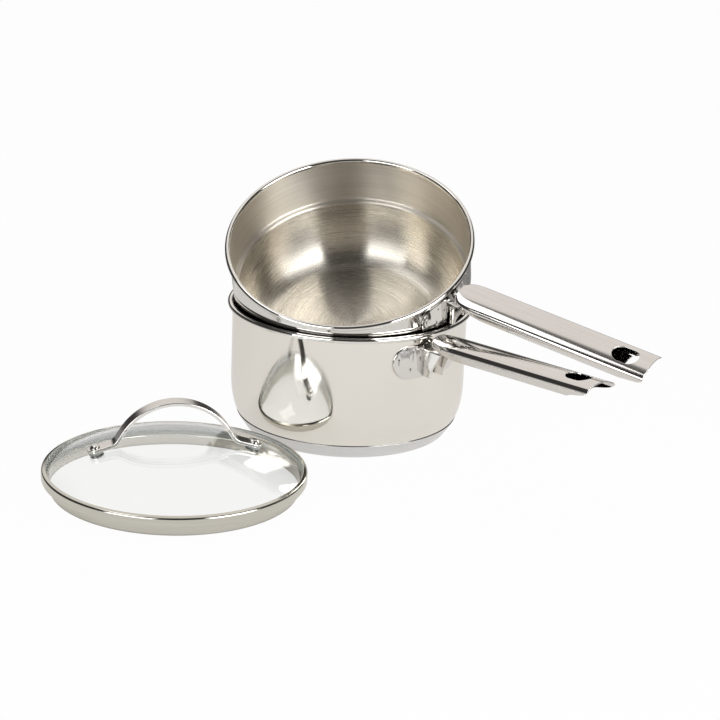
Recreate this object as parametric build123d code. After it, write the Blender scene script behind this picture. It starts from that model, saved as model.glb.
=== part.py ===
from build123d import *
import os
from math import acos, asin, atan2, cos, degrees, hypot, radians, sin, sqrt, tan

os.makedirs("parts", exist_ok=True)

# Lower pan, outside sizes in mm
pan_wall_radius = 89.8
pan_height = 99.3
pan_sheet = 0.7
pan_lip_roll_radius = 2.2
lip_roll_turn = 240
pan_foot_curve_top = 38.0
pan_foot_curve_width = 11.0
pan_floor_height = 7.2
foot_curve_angles = (0, 40, 65, 90)

# Base of the lower pan
cap_seam_height = 11.4
cap_seam_gap = 0.3
cap_flare = 7.6
cap_sheet = 0.45
cap_corner_radius = 3.0
core_edge_gap = 1.2
seat_gap = 0.05

# Insert, outside sizes, heights counted down from its lip
insert_wall_radius = 91.3
insert_sheet = 0.7
insert_lip_roll_radius = 1.9
insert_step_depth = 41.0
insert_lower_radius = 87.3
insert_step_round = 2.15
insert_step_hollow = 1.95
insert_curve_start = 50.0
insert_floor_radius = 60.5
insert_depth = 90.7
bowl_curve_angles = (0, 25, 50, 70, 90)

# Where the insert leans on the lower pan
lean_angle = 27.14
lean_direction = -51.18
insert_spin = 64.31
insert_shift = 13.98
insert_shift_direction = -51.1
insert_rest_gap = 0.05
lip_sample_count = 240
arc_step_count = 8
height_halvings = 30

# Hollow handle, measured in its own frame: out from the pan, across, up from its crest
lower_handle_standoff = 11.0
insert_handle_standoff = 9.5
lower_crest_rise = -0.86
insert_crest_rise = 0.98
handle_start = 10.8
handle_length = 162.3
handle_rise_angle = 3.4
handle_half_width = 14.87
handle_crest_drop = 4.3
handle_height = 13.6
handle_side_lean = 2.2
handle_side_foot = 1.0
handle_sheet = 0.9
handle_top_round = 4.0
handle_bottom_round = 3.2
neck_length = 27.2
neck_length_shares = (0, 0.088, 0.246, 0.559, 1)
neck_width_shares = (0.578, 0.8, 0.935, 1, 1)
neck_height_shares = (0.632, 0.662, 0.721, 0.853, 1)
neck_drop_shares = (0.605, 0.837, 0.953, 1, 1)
notch_length = 14.2
notch_gap = 0.15
slot_end_distance = 21.4
slot_length = 20.9
slot_width = 14.6
scoop_length = 27.0
scoop_length_shares = (-0.11, 0.044, 0.156, 0.356, 0.63, 0.833, 1)
scoop_drop_shares = (0.25, 0.485, 0.61, 0.7, 0.794, 0.926, 1.118)

# Stamped bracket, measured in the same frame
bracket_sheet = 1.2
bracket_wall_gap = 0.1
flange_half_length = 31.5
flange_top_drop = 8.5
flange_bottom_drop = 33.0
nose_half_width = 6.2
nose_shoulder_drop = 12.5
nose_ridge_drop = 6.2
nose_ridge_half_width = 1.7
nose_bend_radius = 1.6
tongue_length = 19.2
tongue_drop = 8.0
arch_foot_setback = 2.2
arch_reach = 15.4
arch_out_shares = (0, 0.065, 0.279, 0.455, 0.701, 1)
arch_drop_shares = (1, 0.82, 0.54, 0.34, 0.136, 0)
weld_mark_radius = 0.8
weld_mark_depth = 0.45
weld_mark_arc_shares = (0.302, 0.508, 0.575, 0.889)
weld_mark_drop_shares = (0.4, 0.18, 0.714, 0.38)

# Lid, measured from the floor it lies on
lid_pan_gap = 3.0
lid_direction = -81.48
lid_handle_direction = 59.6
lid_fit_gap = 0.7
lid_overhang = 1.6
band_sheet = 0.6
band_lip_width = 3.3
band_lip_height = 15.9
band_shoulder_height = 14.9
band_ledge_height = 8.3
band_shoulder_round = 1.5
band_ledge_round = 0.9
glass_edge_gap = 1.4
glass_edge_drop = 2.13
glass_apex_height = 37.1
glass_thickness = 4.0
gasket_setback = 0.4
gasket_reach = 2.6
lid_hole_radius = 3.2
lid_hole_offset = 56.6
sleeve_gap = 0.05
shank_radius = 2.0
shank_gap = 0.08
top_washer_radius = 5.6
top_washer_height = 1.4
bottom_washer_radius = 5.0
bottom_washer_height = 1.0
washer_sag = 0.08
rivet_head_radius = 3.7
rivet_head_height = 2.2
rivet_tail_radius = 3.0
rivet_tail_height = 1.1
strap_thickness = 2.6
strap_width = 12.0
strap_toe = 6.1
strap_foot_length = 13.0
strap_leg_angle = 58.0
strap_bend_radius = 9.0
strap_rise = 29.8

cut_margin = 20.0
touch_size = 0.0001
bend_share = 0.98


def flat_point(plane, point):
    """Place a 2-D point in the upright plane that turns about Z or in the ground plane."""
    if plane == "upright":
        return (point[0], 0, point[1])
    return (0, point[0], point[1])


def direction(start, end):
    """Unit direction from one 2-D point to the next."""
    length = hypot(end[0] - start[0], end[1] - start[1])
    return ((end[0] - start[0]) / length, (end[1] - start[1]) / length)


def shifted(point, heading, distance):
    """Move a 2-D point along a heading."""
    return (point[0] + heading[0] * distance, point[1] + heading[1] * distance)


def left_of(heading):
    """Heading turned a quarter to the left."""
    return (-heading[1], heading[0])


def outline_side(points, radii, shift):
    """Points and arc middles of a rounded path shifted sideways."""
    items = [("point", shifted(points[0], left_of(direction(points[0], points[1])), shift))]
    for index, radius in enumerate(radii):
        before, corner, after = points[index], points[index + 1], points[index + 2]
        first = direction(before, corner)
        second = direction(corner, after)
        turn = atan2(first[0] * second[1] - first[1] * second[0], first[0] * second[0] + first[1] * second[1])
        side = 1 if turn > 0 else -1
        reach = radius * tan(abs(turn) / 2)
        enter = shifted(corner, first, -reach)
        leave = shifted(corner, second, reach)
        centre = shifted(enter, left_of(first), side * radius)
        middle = shifted(centre, direction(centre, corner), radius - side * shift)
        items.append(("point", shifted(enter, left_of(first), shift)))
        items.append(("arc", middle))
        items.append(("point", shifted(leave, left_of(second), shift)))
    items.append(("point", shifted(points[-1], left_of(direction(points[-2], points[-1])), shift)))
    return items


def outline_edges(items, plane):
    """Lines and arcs through the items of one side."""
    edges = []
    last = None
    middle = None
    for kind, point in items:
        if kind == "arc":
            middle = point
            continue
        if last is not None:
            start = flat_point(plane, last)
            end = flat_point(plane, point)
            if middle is None:
                if hypot(point[0] - last[0], point[1] - last[1]) > touch_size:
                    edges.append(Line(start, end))
            else:
                edges.append(ThreePointArc(start, flat_point(plane, middle), end))
        last = point
        middle = None
    return edges


def sheet_face(points, radii, thickness, plane="upright"):
    """Face of a bent sheet that follows a rounded middle line."""
    left = outline_side(points, radii, thickness / 2)
    right = outline_side(points, radii, -thickness / 2)
    edges = outline_edges(left, plane)
    edges += outline_edges(right, plane)
    edges.append(Line(flat_point(plane, left[0][1]), flat_point(plane, right[0][1])))
    edges.append(Line(flat_point(plane, left[-1][1]), flat_point(plane, right[-1][1])))
    return make_face(edges)


def curve_corners(centre, width, height, angles):
    """Corners and bend radii of a path that wraps a quarter ellipse from its side to its foot."""
    touches = []
    for angle in angles:
        touches.append((centre[0] + width * cos(radians(angle)), centre[1] - height * sin(radians(angle))))
    corners = []
    radii = []
    for index in range(len(angles) - 1):
        middle = radians((angles[index] + angles[index + 1]) / 2)
        reach = 1 / cos(radians((angles[index + 1] - angles[index]) / 2))
        corner = (centre[0] + width * cos(middle) * reach, centre[1] - height * sin(middle) * reach)
        first = direction(touches[index], corner)
        second = direction(corner, touches[index + 1])
        turn = abs(acos(first[0] * second[0] + first[1] * second[1]))
        before = hypot(corner[0] - touches[index][0], corner[1] - touches[index][1])
        after = hypot(corner[0] - touches[index + 1][0], corner[1] - touches[index + 1][1])
        corners.append(corner)
        radii.append(bend_share * min(before, after) / tan(turn / 2))
    return corners, radii


def lip_reach(wall_radius, roll_radius, sheet):
    """Outside radius of a rolled lip."""
    return wall_radius + 2 * roll_radius - sheet


def lip_corners(wall_radius, top, roll_radius, sheet):
    """Corners of the rolled lip, from its free edge under the roll back to the wall."""
    middle_radius = roll_radius - sheet / 2
    inner = wall_radius - sheet / 2
    outer = inner + 2 * middle_radius
    crown = top - sheet / 2
    centre = crown - middle_radius
    end_angle = radians(lip_roll_turn - 180)
    reach = middle_radius * tan(end_angle / 2)
    side_corner = (outer, centre - reach)
    free = shifted(side_corner, (-sin(end_angle), -cos(end_angle)), reach)
    return [free, side_corner, (outer, crown), (inner, crown)], [middle_radius * bend_share] * 3


def shell(profile, radii, sheet):
    """Turned sheet shell."""
    return revolve(sheet_face(profile, radii, sheet), Axis.Z)


def lower_pan_shell():
    """Steel pan: rolled lip, straight wall, curved foot, flat floor."""
    half = pan_sheet / 2
    lip, lip_radii = lip_corners(pan_wall_radius, pan_height, pan_lip_roll_radius, pan_sheet)
    centre = (pan_wall_radius - pan_foot_curve_width, pan_foot_curve_top)
    fall = pan_foot_curve_top - pan_floor_height
    corners, radii = curve_corners(centre, pan_foot_curve_width - half, fall - half, foot_curve_angles)
    floor = (0, pan_floor_height + half)
    return shell(lip + corners + [floor], lip_radii + radii, pan_sheet)


def foot_radius(height):
    """Outside radius of the pan's foot curve at a height."""
    share = (pan_foot_curve_top - height) / (pan_foot_curve_top - pan_floor_height)
    return pan_wall_radius - pan_foot_curve_width * (1 - sqrt(1 - share ** 2))


def cap_seam_radius():
    """Outside radius of the cap's upper edge, round the pan's foot curve."""
    return foot_radius(cap_seam_height) + cap_sheet + cap_seam_gap


def base_cap():
    """Shallow dish that closes the base."""
    half = cap_sheet / 2
    seam_radius = cap_seam_radius()
    base_radius = seam_radius - cap_flare
    slope = direction((base_radius, 0), (seam_radius, cap_seam_height))
    seam = shifted((seam_radius, cap_seam_height), left_of(slope), half)
    corner_radius = base_radius + half * slope[0] / slope[1] - half / slope[1]
    return shell([seam, (corner_radius, half), (0, half)], [cap_corner_radius], cap_sheet)


def base_core_disc():
    """Heat disc between the base cap and the pan floor."""
    bottom = cap_sheet + seat_gap
    top = pan_floor_height - seat_gap
    radius = cap_seam_radius() - cap_flare - cap_corner_radius - core_edge_gap
    disc = Cylinder(radius, top - bottom, align=(Align.CENTER, Align.CENTER, Align.MIN))
    return Pos(0, 0, bottom) * disc


def bowl_corners():
    """Corners and bend radii of the insert's middle line below its straight wall."""
    half = insert_sheet / 2
    ledge = -insert_step_depth + half
    step = [(insert_wall_radius - half, ledge), (insert_lower_radius - half, ledge)]
    step_radii = [insert_step_round, insert_step_hollow]
    centre = (insert_floor_radius, -insert_curve_start)
    width = insert_lower_radius - insert_floor_radius - half
    height = insert_depth - insert_curve_start - half
    corners, radii = curve_corners(centre, width, height, bowl_curve_angles)
    floor = (0, -insert_depth + half)
    return step + corners + [floor], step_radii + radii


def insert_shell():
    """Steel bowl: rolled lip, straight wall, step, lower wall, round bowl, flat floor."""
    lip, lip_radii = lip_corners(insert_wall_radius, 0, insert_lip_roll_radius, insert_sheet)
    corners, radii = bowl_corners()
    return shell(lip + corners, lip_radii + radii, insert_sheet)


def arc_points(start, middle, end, count):
    """Points along the arc through three points, without its start."""
    mid_first = ((start[0] + middle[0]) / 2, (start[1] + middle[1]) / 2)
    mid_last = ((middle[0] + end[0]) / 2, (middle[1] + end[1]) / 2)
    first = left_of(direction(start, middle))
    last = left_of(direction(middle, end))
    gap = (mid_last[0] - mid_first[0], mid_last[1] - mid_first[1])
    reach = (gap[0] * last[1] - gap[1] * last[0]) / (first[0] * last[1] - first[1] * last[0])
    centre = shifted(mid_first, first, reach)
    radius = hypot(start[0] - centre[0], start[1] - centre[1])
    points = []
    for step in range(1, count + 1):
        share = step / count
        chord = (start[0] + (end[0] - start[0]) * share, start[1] + (end[1] - start[1]) * share)
        points.append(shifted(centre, direction(centre, chord), radius))
    return points


def bowl_outside():
    """Points down the outside of the insert, from its lip to the middle of its floor."""
    corners, radii = bowl_corners()
    top = (corners[0][0], 0)
    items = outline_side([top] + corners, radii, insert_sheet / 2)
    points = []
    middle = None
    for kind, point in items:
        if kind == "arc":
            middle = point
        elif middle is None:
            points.append(point)
        else:
            points += arc_points(points[-1], middle, point, arc_step_count)
            middle = None
    return points


def outside_distance(point, outline):
    """Distance from an outline of points, positive outside it."""
    best = None
    for start, end in zip(outline, outline[1:]):
        length = hypot(end[0] - start[0], end[1] - start[1])
        if length < touch_size:
            continue
        heading = direction(start, end)
        offset = (point[0] - start[0], point[1] - start[1])
        along = offset[0] * heading[0] + offset[1] * heading[1]
        foot = shifted(start, heading, min(max(along, 0), length))
        distance = hypot(point[0] - foot[0], point[1] - foot[1])
        if best is None or distance < abs(best):
            normal = left_of(heading)
            outside = offset[0] * normal[0] + offset[1] * normal[1] >= 0
            best = distance if outside else -distance
    return best


def lip_gap(centre, outline):
    """Least gap between the lower pan's lip and the leaning insert held at a centre."""
    lean = radians(lean_angle)
    turn = radians(lean_direction)
    axis = Vector(sin(lean) * cos(turn), sin(lean) * sin(turn), cos(lean))
    ring_radius = lip_reach(pan_wall_radius, pan_lip_roll_radius, pan_sheet) - pan_lip_roll_radius
    least = None
    for step in range(lip_sample_count):
        angle = radians(360 * step / lip_sample_count)
        ring = Vector(ring_radius * cos(angle), ring_radius * sin(angle), pan_height - pan_lip_roll_radius)
        offset = ring - centre
        height = offset.dot(axis)
        radius = (offset - axis * height).length
        gap = outside_distance((radius, height), outline) - pan_lip_roll_radius
        if least is None or gap < least:
            least = gap
    return least


def insert_centre():
    """Centre of the insert's rim, lowered until the insert rests on the lower pan's lip."""
    outline = bowl_outside()
    turn = radians(insert_shift_direction)
    low = pan_height
    high = pan_height + insert_depth
    for step in range(height_halvings):
        height = (low + high) / 2
        centre = Vector(insert_shift * cos(turn), insert_shift * sin(turn), height)
        if lip_gap(centre, outline) < insert_rest_gap:
            low = height
        else:
            high = height
    return centre


def handle_section(out, half_width, height, crest_drop, inset):
    """Cross-section of the handle: arched top, leaning sides, arched bottom."""
    wide = half_width - inset
    foot = half_width - handle_side_lean - inset
    top = -inset
    edge = -crest_drop - inset * handle_side_foot / 2
    base = -height + inset + handle_side_foot
    bottom = -height + inset
    outline = make_face([
        ThreePointArc((-wide, edge), (0, top), (wide, edge)),
        Line((wide, edge), (foot, base)),
        ThreePointArc((foot, base), (0, bottom), (-foot, base)),
        Line((-foot, base), (-wide, edge)),
    ])
    round_share = height / handle_height
    corners = outline.vertices().sort_by(Axis.Y)
    outline = fillet(corners[0:2], handle_bottom_round * round_share - inset)
    corners = outline.vertices().sort_by(Axis.Y)
    outline = fillet(corners[-2:], handle_top_round * round_share - inset)
    return Plane((out, 0, 0), x_dir=(0, 1, 0), z_dir=(1, 0, 0)) * outline


def handle_body(inset):
    """Solid of the handle's outside or inside, neck and straight part."""
    sections = []
    shares = zip(neck_length_shares, neck_width_shares, neck_height_shares, neck_drop_shares)
    for length_share, width_share, height_share, drop_share in shares:
        out = handle_start + neck_length * length_share
        half_width = handle_half_width * width_share
        height = handle_height * height_share
        drop = handle_crest_drop * drop_share
        sections.append(handle_section(out, half_width, height, drop, inset))
    neck = loft(sections)
    neck_end = handle_start + neck_length
    full = handle_section(neck_end, handle_half_width, handle_height, handle_crest_drop, inset)
    straight = extrude(full, handle_length - neck_length, dir=(1, 0, 0))
    return neck + straight


def handle_scoop():
    """Cutter under the handle's end."""
    points = []
    end = handle_start + handle_length
    for back_share, drop_share in zip(scoop_length_shares, scoop_drop_shares):
        points.append((end - scoop_length * back_share, 0, -handle_height * drop_share))
    curve = Spline(*points)
    low = -handle_height - cut_margin
    edges = [
        curve,
        Line(points[-1], (points[-1][0], 0, low)),
        Line((points[-1][0], 0, low), (points[0][0], 0, low)),
        Line((points[0][0], 0, low), points[0]),
    ]
    return extrude(make_face(edges), handle_half_width + cut_margin, both=True, dir=(0, 1, 0))


def handle_frame_radius(wall_radius, standoff):
    """Distance of a handle's frame from its pan's axis."""
    return wall_radius + standoff - handle_start


def handle(wall_radius, standoff, crest_height):
    """Hollow sheet handle with its notch, hanging slot and scooped end."""
    tube = handle_body(0) - handle_body(handle_sheet)
    notch_width = 2 * nose_half_width + bracket_sheet + 2 * notch_gap
    notch_end = handle_start + notch_length
    notch = Box(2 * notch_end, notch_width, handle_height, align=(Align.CENTER, Align.CENTER, Align.MAX))
    notch = Pos(0, 0, -handle_crest_drop * neck_drop_shares[0]) * notch
    slot_centre = handle_start + handle_length - slot_end_distance
    slot = SlotOverall(slot_length, slot_width)
    slot = extrude(Pos(slot_centre, 0, -handle_height / 2) * slot, handle_height)
    tube = tube - notch - slot - handle_scoop()
    place = Pos(handle_frame_radius(wall_radius, standoff), 0, crest_height)
    return place * Rot(0, -handle_rise_angle, 0) * tube


def nose_silhouette():
    """Side view of the nose: full height at the wall, an arch below, a tongue outwards."""
    points = []
    arch_start = handle_start - arch_foot_setback
    arch_height = flange_bottom_drop - tongue_drop
    for out_share, drop_share in zip(arch_out_shares, arch_drop_shares):
        points.append((arch_start + arch_reach * out_share, 0, -tongue_drop - arch_height * drop_share))
    wall = -cut_margin
    tongue_end = handle_start + tongue_length
    edges = [
        Line((wall, 0, 0), (wall, 0, -flange_bottom_drop)),
        Line((wall, 0, -flange_bottom_drop), points[0]),
        Spline(*points),
        Line(points[-1], (tongue_end, 0, -tongue_drop)),
        Line((tongue_end, 0, -tongue_drop), (tongue_end, 0, 0)),
        Line((tongue_end, 0, 0), (wall, 0, 0)),
    ]
    return extrude(make_face(edges), nose_half_width + cut_margin, both=True, dir=(0, 1, 0))


def bracket(wall_radius, standoff, crest_height):
    """Stamped bracket: two flanges on the wall, a hollow nose and a tongue."""
    path = [
        (-nose_half_width, -flange_bottom_drop),
        (-nose_half_width, -nose_shoulder_drop),
        (-nose_ridge_half_width, -nose_ridge_drop),
        (nose_ridge_half_width, -nose_ridge_drop),
        (nose_half_width, -nose_shoulder_drop),
        (nose_half_width, -flange_bottom_drop),
    ]
    bends = [nose_bend_radius] * 4
    nose_length = handle_start + tongue_length + 2 * cut_margin
    nose = extrude(sheet_face(path, bends, bracket_sheet, "across"), nose_length, dir=(1, 0, 0))
    nose = Pos(-cut_margin, 0, 0) * nose
    nose = Pos(handle_frame_radius(wall_radius, standoff), 0, 0) * (nose & nose_silhouette())
    inner_radius = wall_radius + bracket_wall_gap
    outer_radius = inner_radius + bracket_sheet
    tall = flange_bottom_drop - flange_top_drop
    ring = Cylinder(outer_radius, 2 * flange_bottom_drop) - Cylinder(inner_radius, 3 * flange_bottom_drop)
    plate = SlotOverall(2 * flange_half_length, tall)
    plate = extrude(Plane.YZ * plate, outer_radius + cut_margin)
    plate = Pos(0, 0, -flange_top_drop - tall / 2) * plate
    mouth = Box(2 * wall_radius + 2 * cut_margin, 2 * nose_half_width, 4 * flange_bottom_drop)
    flanges = (ring & plate) - mouth
    wall = Cylinder(inner_radius, 4 * flange_bottom_drop)
    body = (nose - wall) + flanges
    for arc_share, drop_share in zip(weld_mark_arc_shares, weld_mark_drop_shares):
        for side in (-1, 1):
            mark = Cylinder(weld_mark_radius, 2 * weld_mark_depth)
            mark = Pos(outer_radius, 0, -flange_top_drop - tall * drop_share) * Rot(0, 90, 0) * mark
            turn = degrees(side * flange_half_length * arc_share / outer_radius)
            body = body - Rot(0, 0, turn) * mark
    return Pos(0, 0, crest_height) * body


def band_outer_radius():
    """Outside radius of the rim band, past the insert's lip."""
    return lip_reach(insert_wall_radius, insert_lip_roll_radius, insert_sheet) + lid_overhang


def band_inner_radius():
    """Radius of the band lip's free edge over the glass."""
    return band_outer_radius() - band_lip_width


def glass_edge_radius():
    """Outside radius of the glass, inside the band."""
    return band_outer_radius() - band_sheet - glass_edge_gap


def glass_top_radius():
    """Radius of the dome's upper sphere, through the apex and the upper edge."""
    rise = glass_apex_height - band_lip_height + glass_edge_drop
    return (rise ** 2 + glass_edge_radius() ** 2) / (2 * rise)


def dome_height(radius, offset):
    """Height of a dome surface at a distance from the lid's axis."""
    top = glass_top_radius()
    return glass_apex_height - top + sqrt((top - offset) ** 2 - radius ** 2)


def foot_slope():
    """Slope of the glass under the strap's feet."""
    return degrees(asin(lid_hole_offset / glass_top_radius()))


def foot_place(side):
    """Frame on the glass at one strap foot, its Z along the glass's normal."""
    height = dome_height(lid_hole_offset, 0)
    return Pos(side * lid_hole_offset, 0, height) * Rot(0, side * foot_slope(), 0)


def lid_glass():
    """Domed glass with two holes."""
    top = glass_top_radius()
    edge = glass_edge_radius()
    low = dome_height(edge, glass_thickness)
    high = dome_height(edge, 0)
    inner = top - glass_thickness
    half = asin(edge / top) / 2
    centre = glass_apex_height - top
    inner_half = asin(edge / inner) / 2
    upper_middle = (top * sin(half), 0, centre + top * cos(half))
    lower_middle = (inner * sin(inner_half), 0, centre + inner * cos(inner_half))
    face = make_face([
        ThreePointArc((0, 0, glass_apex_height), upper_middle, (edge, 0, high)),
        Line((edge, 0, high), (edge, 0, low)),
        ThreePointArc((edge, 0, low), lower_middle, (0, 0, centre + inner)),
        Line((0, 0, centre + inner), (0, 0, glass_apex_height)),
    ])
    glass = revolve(face, Axis.Z)
    for side in (-1, 1):
        glass = glass - foot_place(side) * Cylinder(lid_hole_radius, 4 * glass_thickness)
    return glass


def lid_rim_band():
    """Stepped steel band: lip over the glass, outer wall, ledge and skirt."""
    half = band_sheet / 2
    outer = band_outer_radius() - half
    skirt = insert_wall_radius - insert_sheet - lid_fit_gap - half
    path = [
        (band_inner_radius(), band_lip_height),
        (outer, band_shoulder_height),
        (outer, band_ledge_height),
        (skirt, band_ledge_height),
        (skirt, 0),
    ]
    return shell(path, [band_shoulder_round, band_ledge_round, band_ledge_round], band_sheet)


def lid_glass_gasket(glass):
    """Soft ring that fills the band's channel round the glass edge."""
    outer = band_outer_radius() - band_sheet - seat_gap
    bottom = band_ledge_height + band_sheet / 2 + seat_gap
    lip_end = (band_inner_radius(), band_lip_height)
    inner = band_inner_radius() + gasket_setback
    under = glass_edge_radius() - gasket_reach
    middle = dome_height(glass_edge_radius(), glass_thickness / 2)
    slope = direction(lip_end, (band_outer_radius() - band_sheet / 2, band_shoulder_height))
    below = shifted(lip_end, left_of(slope), -band_sheet / 2 - seat_gap)
    fall = slope[1] / slope[0]
    inner_top = below[1] + (inner - below[0]) * fall
    shoulder = outer - band_shoulder_round
    shoulder_top = below[1] + (shoulder - below[0]) * fall
    side_top = shoulder_top - band_shoulder_round
    face = make_face([
        Line((under, 0, bottom), (under, 0, middle)),
        Line((under, 0, middle), (inner, 0, middle)),
        Line((inner, 0, middle), (inner, 0, inner_top)),
        Line((inner, 0, inner_top), (shoulder, 0, shoulder_top)),
        Line((shoulder, 0, shoulder_top), (outer, 0, side_top)),
        Line((outer, 0, side_top), (outer, 0, bottom + band_ledge_round)),
        Line((outer, 0, bottom + band_ledge_round), (outer - band_ledge_round, 0, bottom)),
        Line((outer - band_ledge_round, 0, bottom), (under, 0, bottom)),
    ])
    return revolve(face, Axis.Z) - glass


def lid_handle():
    """Strap: two sloping feet, steep legs and a round arch."""
    slope = radians(foot_slope())
    lift = top_washer_height + strap_thickness / 2
    foot = (lid_hole_offset + lift * sin(slope), dome_height(lid_hole_offset, 0) + lift * cos(slope))
    toe = shifted(foot, (cos(slope), -sin(slope)), strap_toe)
    bend_offset = lid_hole_offset - strap_foot_length
    bend = (bend_offset, foot[1] + (foot[0] - bend_offset) * tan(slope))
    leg = radians(strap_leg_angle)
    peak = bend[1] + bend[0] * tan(leg)
    crown = glass_apex_height + strap_rise - strap_thickness / 2
    arch_radius = (peak - crown) / (1 / cos(leg) - 1)
    path = [toe, bend, (0, peak), (-bend[0], bend[1]), (-toe[0], toe[1])]
    face = sheet_face(path, [strap_bend_radius, arch_radius, strap_bend_radius], strap_thickness)
    strap = extrude(face, strap_width / 2, both=True, dir=(0, 1, 0))
    plan = extrude(SlotOverall(2 * toe[0], strap_width), glass_apex_height + strap_rise + cut_margin)
    strap = strap & plan
    for side in (-1, 1):
        strap = strap - foot_place(side) * Cylinder(shank_radius + shank_gap, 4 * glass_thickness)
    return strap


def washer(outer_radius, inner_radius, low, high):
    """Flat ring between two heights."""
    ring = Cylinder(outer_radius, high - low) - Cylinder(inner_radius, 2 * (high - low))
    return Pos(0, 0, (low + high) / 2) * ring


def rivet():
    """Domed head, shank and flat tail."""
    seat = top_washer_height + strap_thickness
    ball = (rivet_head_radius ** 2 + rivet_head_height ** 2) / (2 * rivet_head_height)
    dome = Pos(0, 0, seat + rivet_head_height - ball) * Sphere(ball)
    keep = Cylinder(rivet_head_radius, rivet_head_height, align=(Align.CENTER, Align.CENTER, Align.MIN))
    head = dome & Pos(0, 0, seat) * keep
    low = -glass_thickness - washer_sag - bottom_washer_height
    shank = bar(shank_radius, low, seat)
    tail = bar(rivet_tail_radius, low - rivet_tail_height, low)
    return head + shank + tail


def bar(radius, low, high):
    """Round bar between two heights."""
    return Pos(0, 0, low) * Cylinder(radius, high - low, align=(Align.CENTER, Align.CENTER, Align.MIN))


def write(shape, name):
    """Save one node."""
    export_step(shape, "parts/" + name + ".step")


insert_place = Pos(insert_centre())
insert_place = insert_place * Rot(0, 0, lean_direction) * Rot(0, lean_angle, 0) * Rot(0, 0, insert_spin)

pan_reach = lip_reach(pan_wall_radius, pan_lip_roll_radius, pan_sheet)
lid_distance = pan_reach + lid_pan_gap + band_outer_radius()
lid_place = Rot(0, 0, lid_direction) * Pos(lid_distance, 0, 0)
lid_place = lid_place * Rot(0, 0, lid_handle_direction - lid_direction)

lower_crest_height = pan_height + lower_crest_rise
write(lower_pan_shell(), "lower_pan_shell")
write(base_core_disc(), "base_core_disc")
write(base_cap(), "base_cap")
write(bracket(pan_wall_radius, lower_handle_standoff, lower_crest_height), "lower_bracket")
write(handle(pan_wall_radius, lower_handle_standoff, lower_crest_height), "lower_handle")

write(insert_place * insert_shell(), "insert_shell")
insert_arm = bracket(insert_wall_radius, insert_handle_standoff, insert_crest_rise)
write(insert_place * insert_arm, "insert_bracket")
insert_grip = handle(insert_wall_radius, insert_handle_standoff, insert_crest_rise)
write(insert_place * insert_grip, "insert_handle")

glass_shape = lid_glass()
write(lid_place * glass_shape, "lid_glass")
write(lid_place * lid_rim_band(), "lid_rim_band")
write(lid_place * lid_glass_gasket(glass_shape), "lid_glass_gasket")
write(lid_place * lid_handle(), "lid_handle")
for side, side_name in ((-1, "left"), (1, "right")):
    place = lid_place * foot_place(side)
    under = -glass_thickness - washer_sag
    hole = shank_radius + shank_gap
    write(place * rivet(), "lid_rivet_" + side_name)
    write(place * washer(top_washer_radius, hole, 0, top_washer_height), "lid_top_washer_" + side_name)
    low_washer = washer(bottom_washer_radius, hole, under - bottom_washer_height, under)
    write(place * low_washer, "lid_bottom_washer_" + side_name)
    sleeve = washer(lid_hole_radius - sleeve_gap, hole, -glass_thickness + sleeve_gap, -sleeve_gap)
    write(place * sleeve, "lid_hole_sleeve_" + side_name)
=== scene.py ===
"""A double boiler in stainless steel: a saucepan, an insert leaning in its mouth, and a glass lid beside them.

Every length in the classes below is in millimetres, as on the drawing of the real piece, and is turned into
metres when a mesh is built. The row frame has its origin under the saucepan, Z up and X along its handle.
"""

import logging
from dataclasses import dataclass, field
from enum import Enum
from math import acos, asin, atan2, ceil, cos, degrees, hypot, pi, radians, sin, sqrt, tan
from typing import Callable

import bmesh
import bpy
import numpy as np
from mathutils import Matrix, Vector
from mathutils.geometry import delaunay_2d_cdt


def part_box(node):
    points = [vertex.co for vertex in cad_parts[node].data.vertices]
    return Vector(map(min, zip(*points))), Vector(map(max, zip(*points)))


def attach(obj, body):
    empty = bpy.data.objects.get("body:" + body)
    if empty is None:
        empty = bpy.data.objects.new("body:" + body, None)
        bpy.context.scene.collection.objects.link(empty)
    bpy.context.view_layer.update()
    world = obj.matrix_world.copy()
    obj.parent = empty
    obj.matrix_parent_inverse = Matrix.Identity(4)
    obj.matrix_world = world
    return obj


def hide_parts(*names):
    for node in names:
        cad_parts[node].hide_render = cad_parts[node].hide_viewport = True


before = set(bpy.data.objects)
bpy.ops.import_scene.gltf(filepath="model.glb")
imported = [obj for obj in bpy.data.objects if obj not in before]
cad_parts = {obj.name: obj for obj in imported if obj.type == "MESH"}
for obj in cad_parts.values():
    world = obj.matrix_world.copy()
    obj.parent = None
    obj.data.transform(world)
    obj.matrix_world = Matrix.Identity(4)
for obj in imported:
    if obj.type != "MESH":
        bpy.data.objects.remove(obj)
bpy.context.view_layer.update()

MM = 0.001
UV_NAME = "UVMap"

log = logging.getLogger("double_boiler")

Pair = tuple[float, float]


class Zone(Enum):
    """Part of a turned sheet that has its own finish."""

    OUTSIDE = 0
    LIP = 1
    INSIDE = 2


# Small helpers for places and meshes


def placed(x: float, y: float, z: float) -> Matrix:
    """Shift by millimetres, as a matrix in metres."""
    return Matrix.Translation(Vector((x, y, z)) * MM)


def turned_by(degrees_round: float, axis: str) -> Matrix:
    """Turn about one axis."""
    return Matrix.Rotation(radians(degrees_round), 4, axis)


def direction(start: Pair, end: Pair) -> Pair:
    """Unit direction from one 2-D point to the next."""
    length = hypot(end[0] - start[0], end[1] - start[1])
    return ((end[0] - start[0]) / length, (end[1] - start[1]) / length)


def shifted(point: Pair, heading: Pair, distance: float) -> Pair:
    """Move a 2-D point along a heading."""
    return (point[0] + heading[0] * distance, point[1] + heading[1] * distance)


def left_of(heading: Pair) -> Pair:
    """Heading turned a quarter to the left."""
    return (-heading[1], heading[0])


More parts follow.
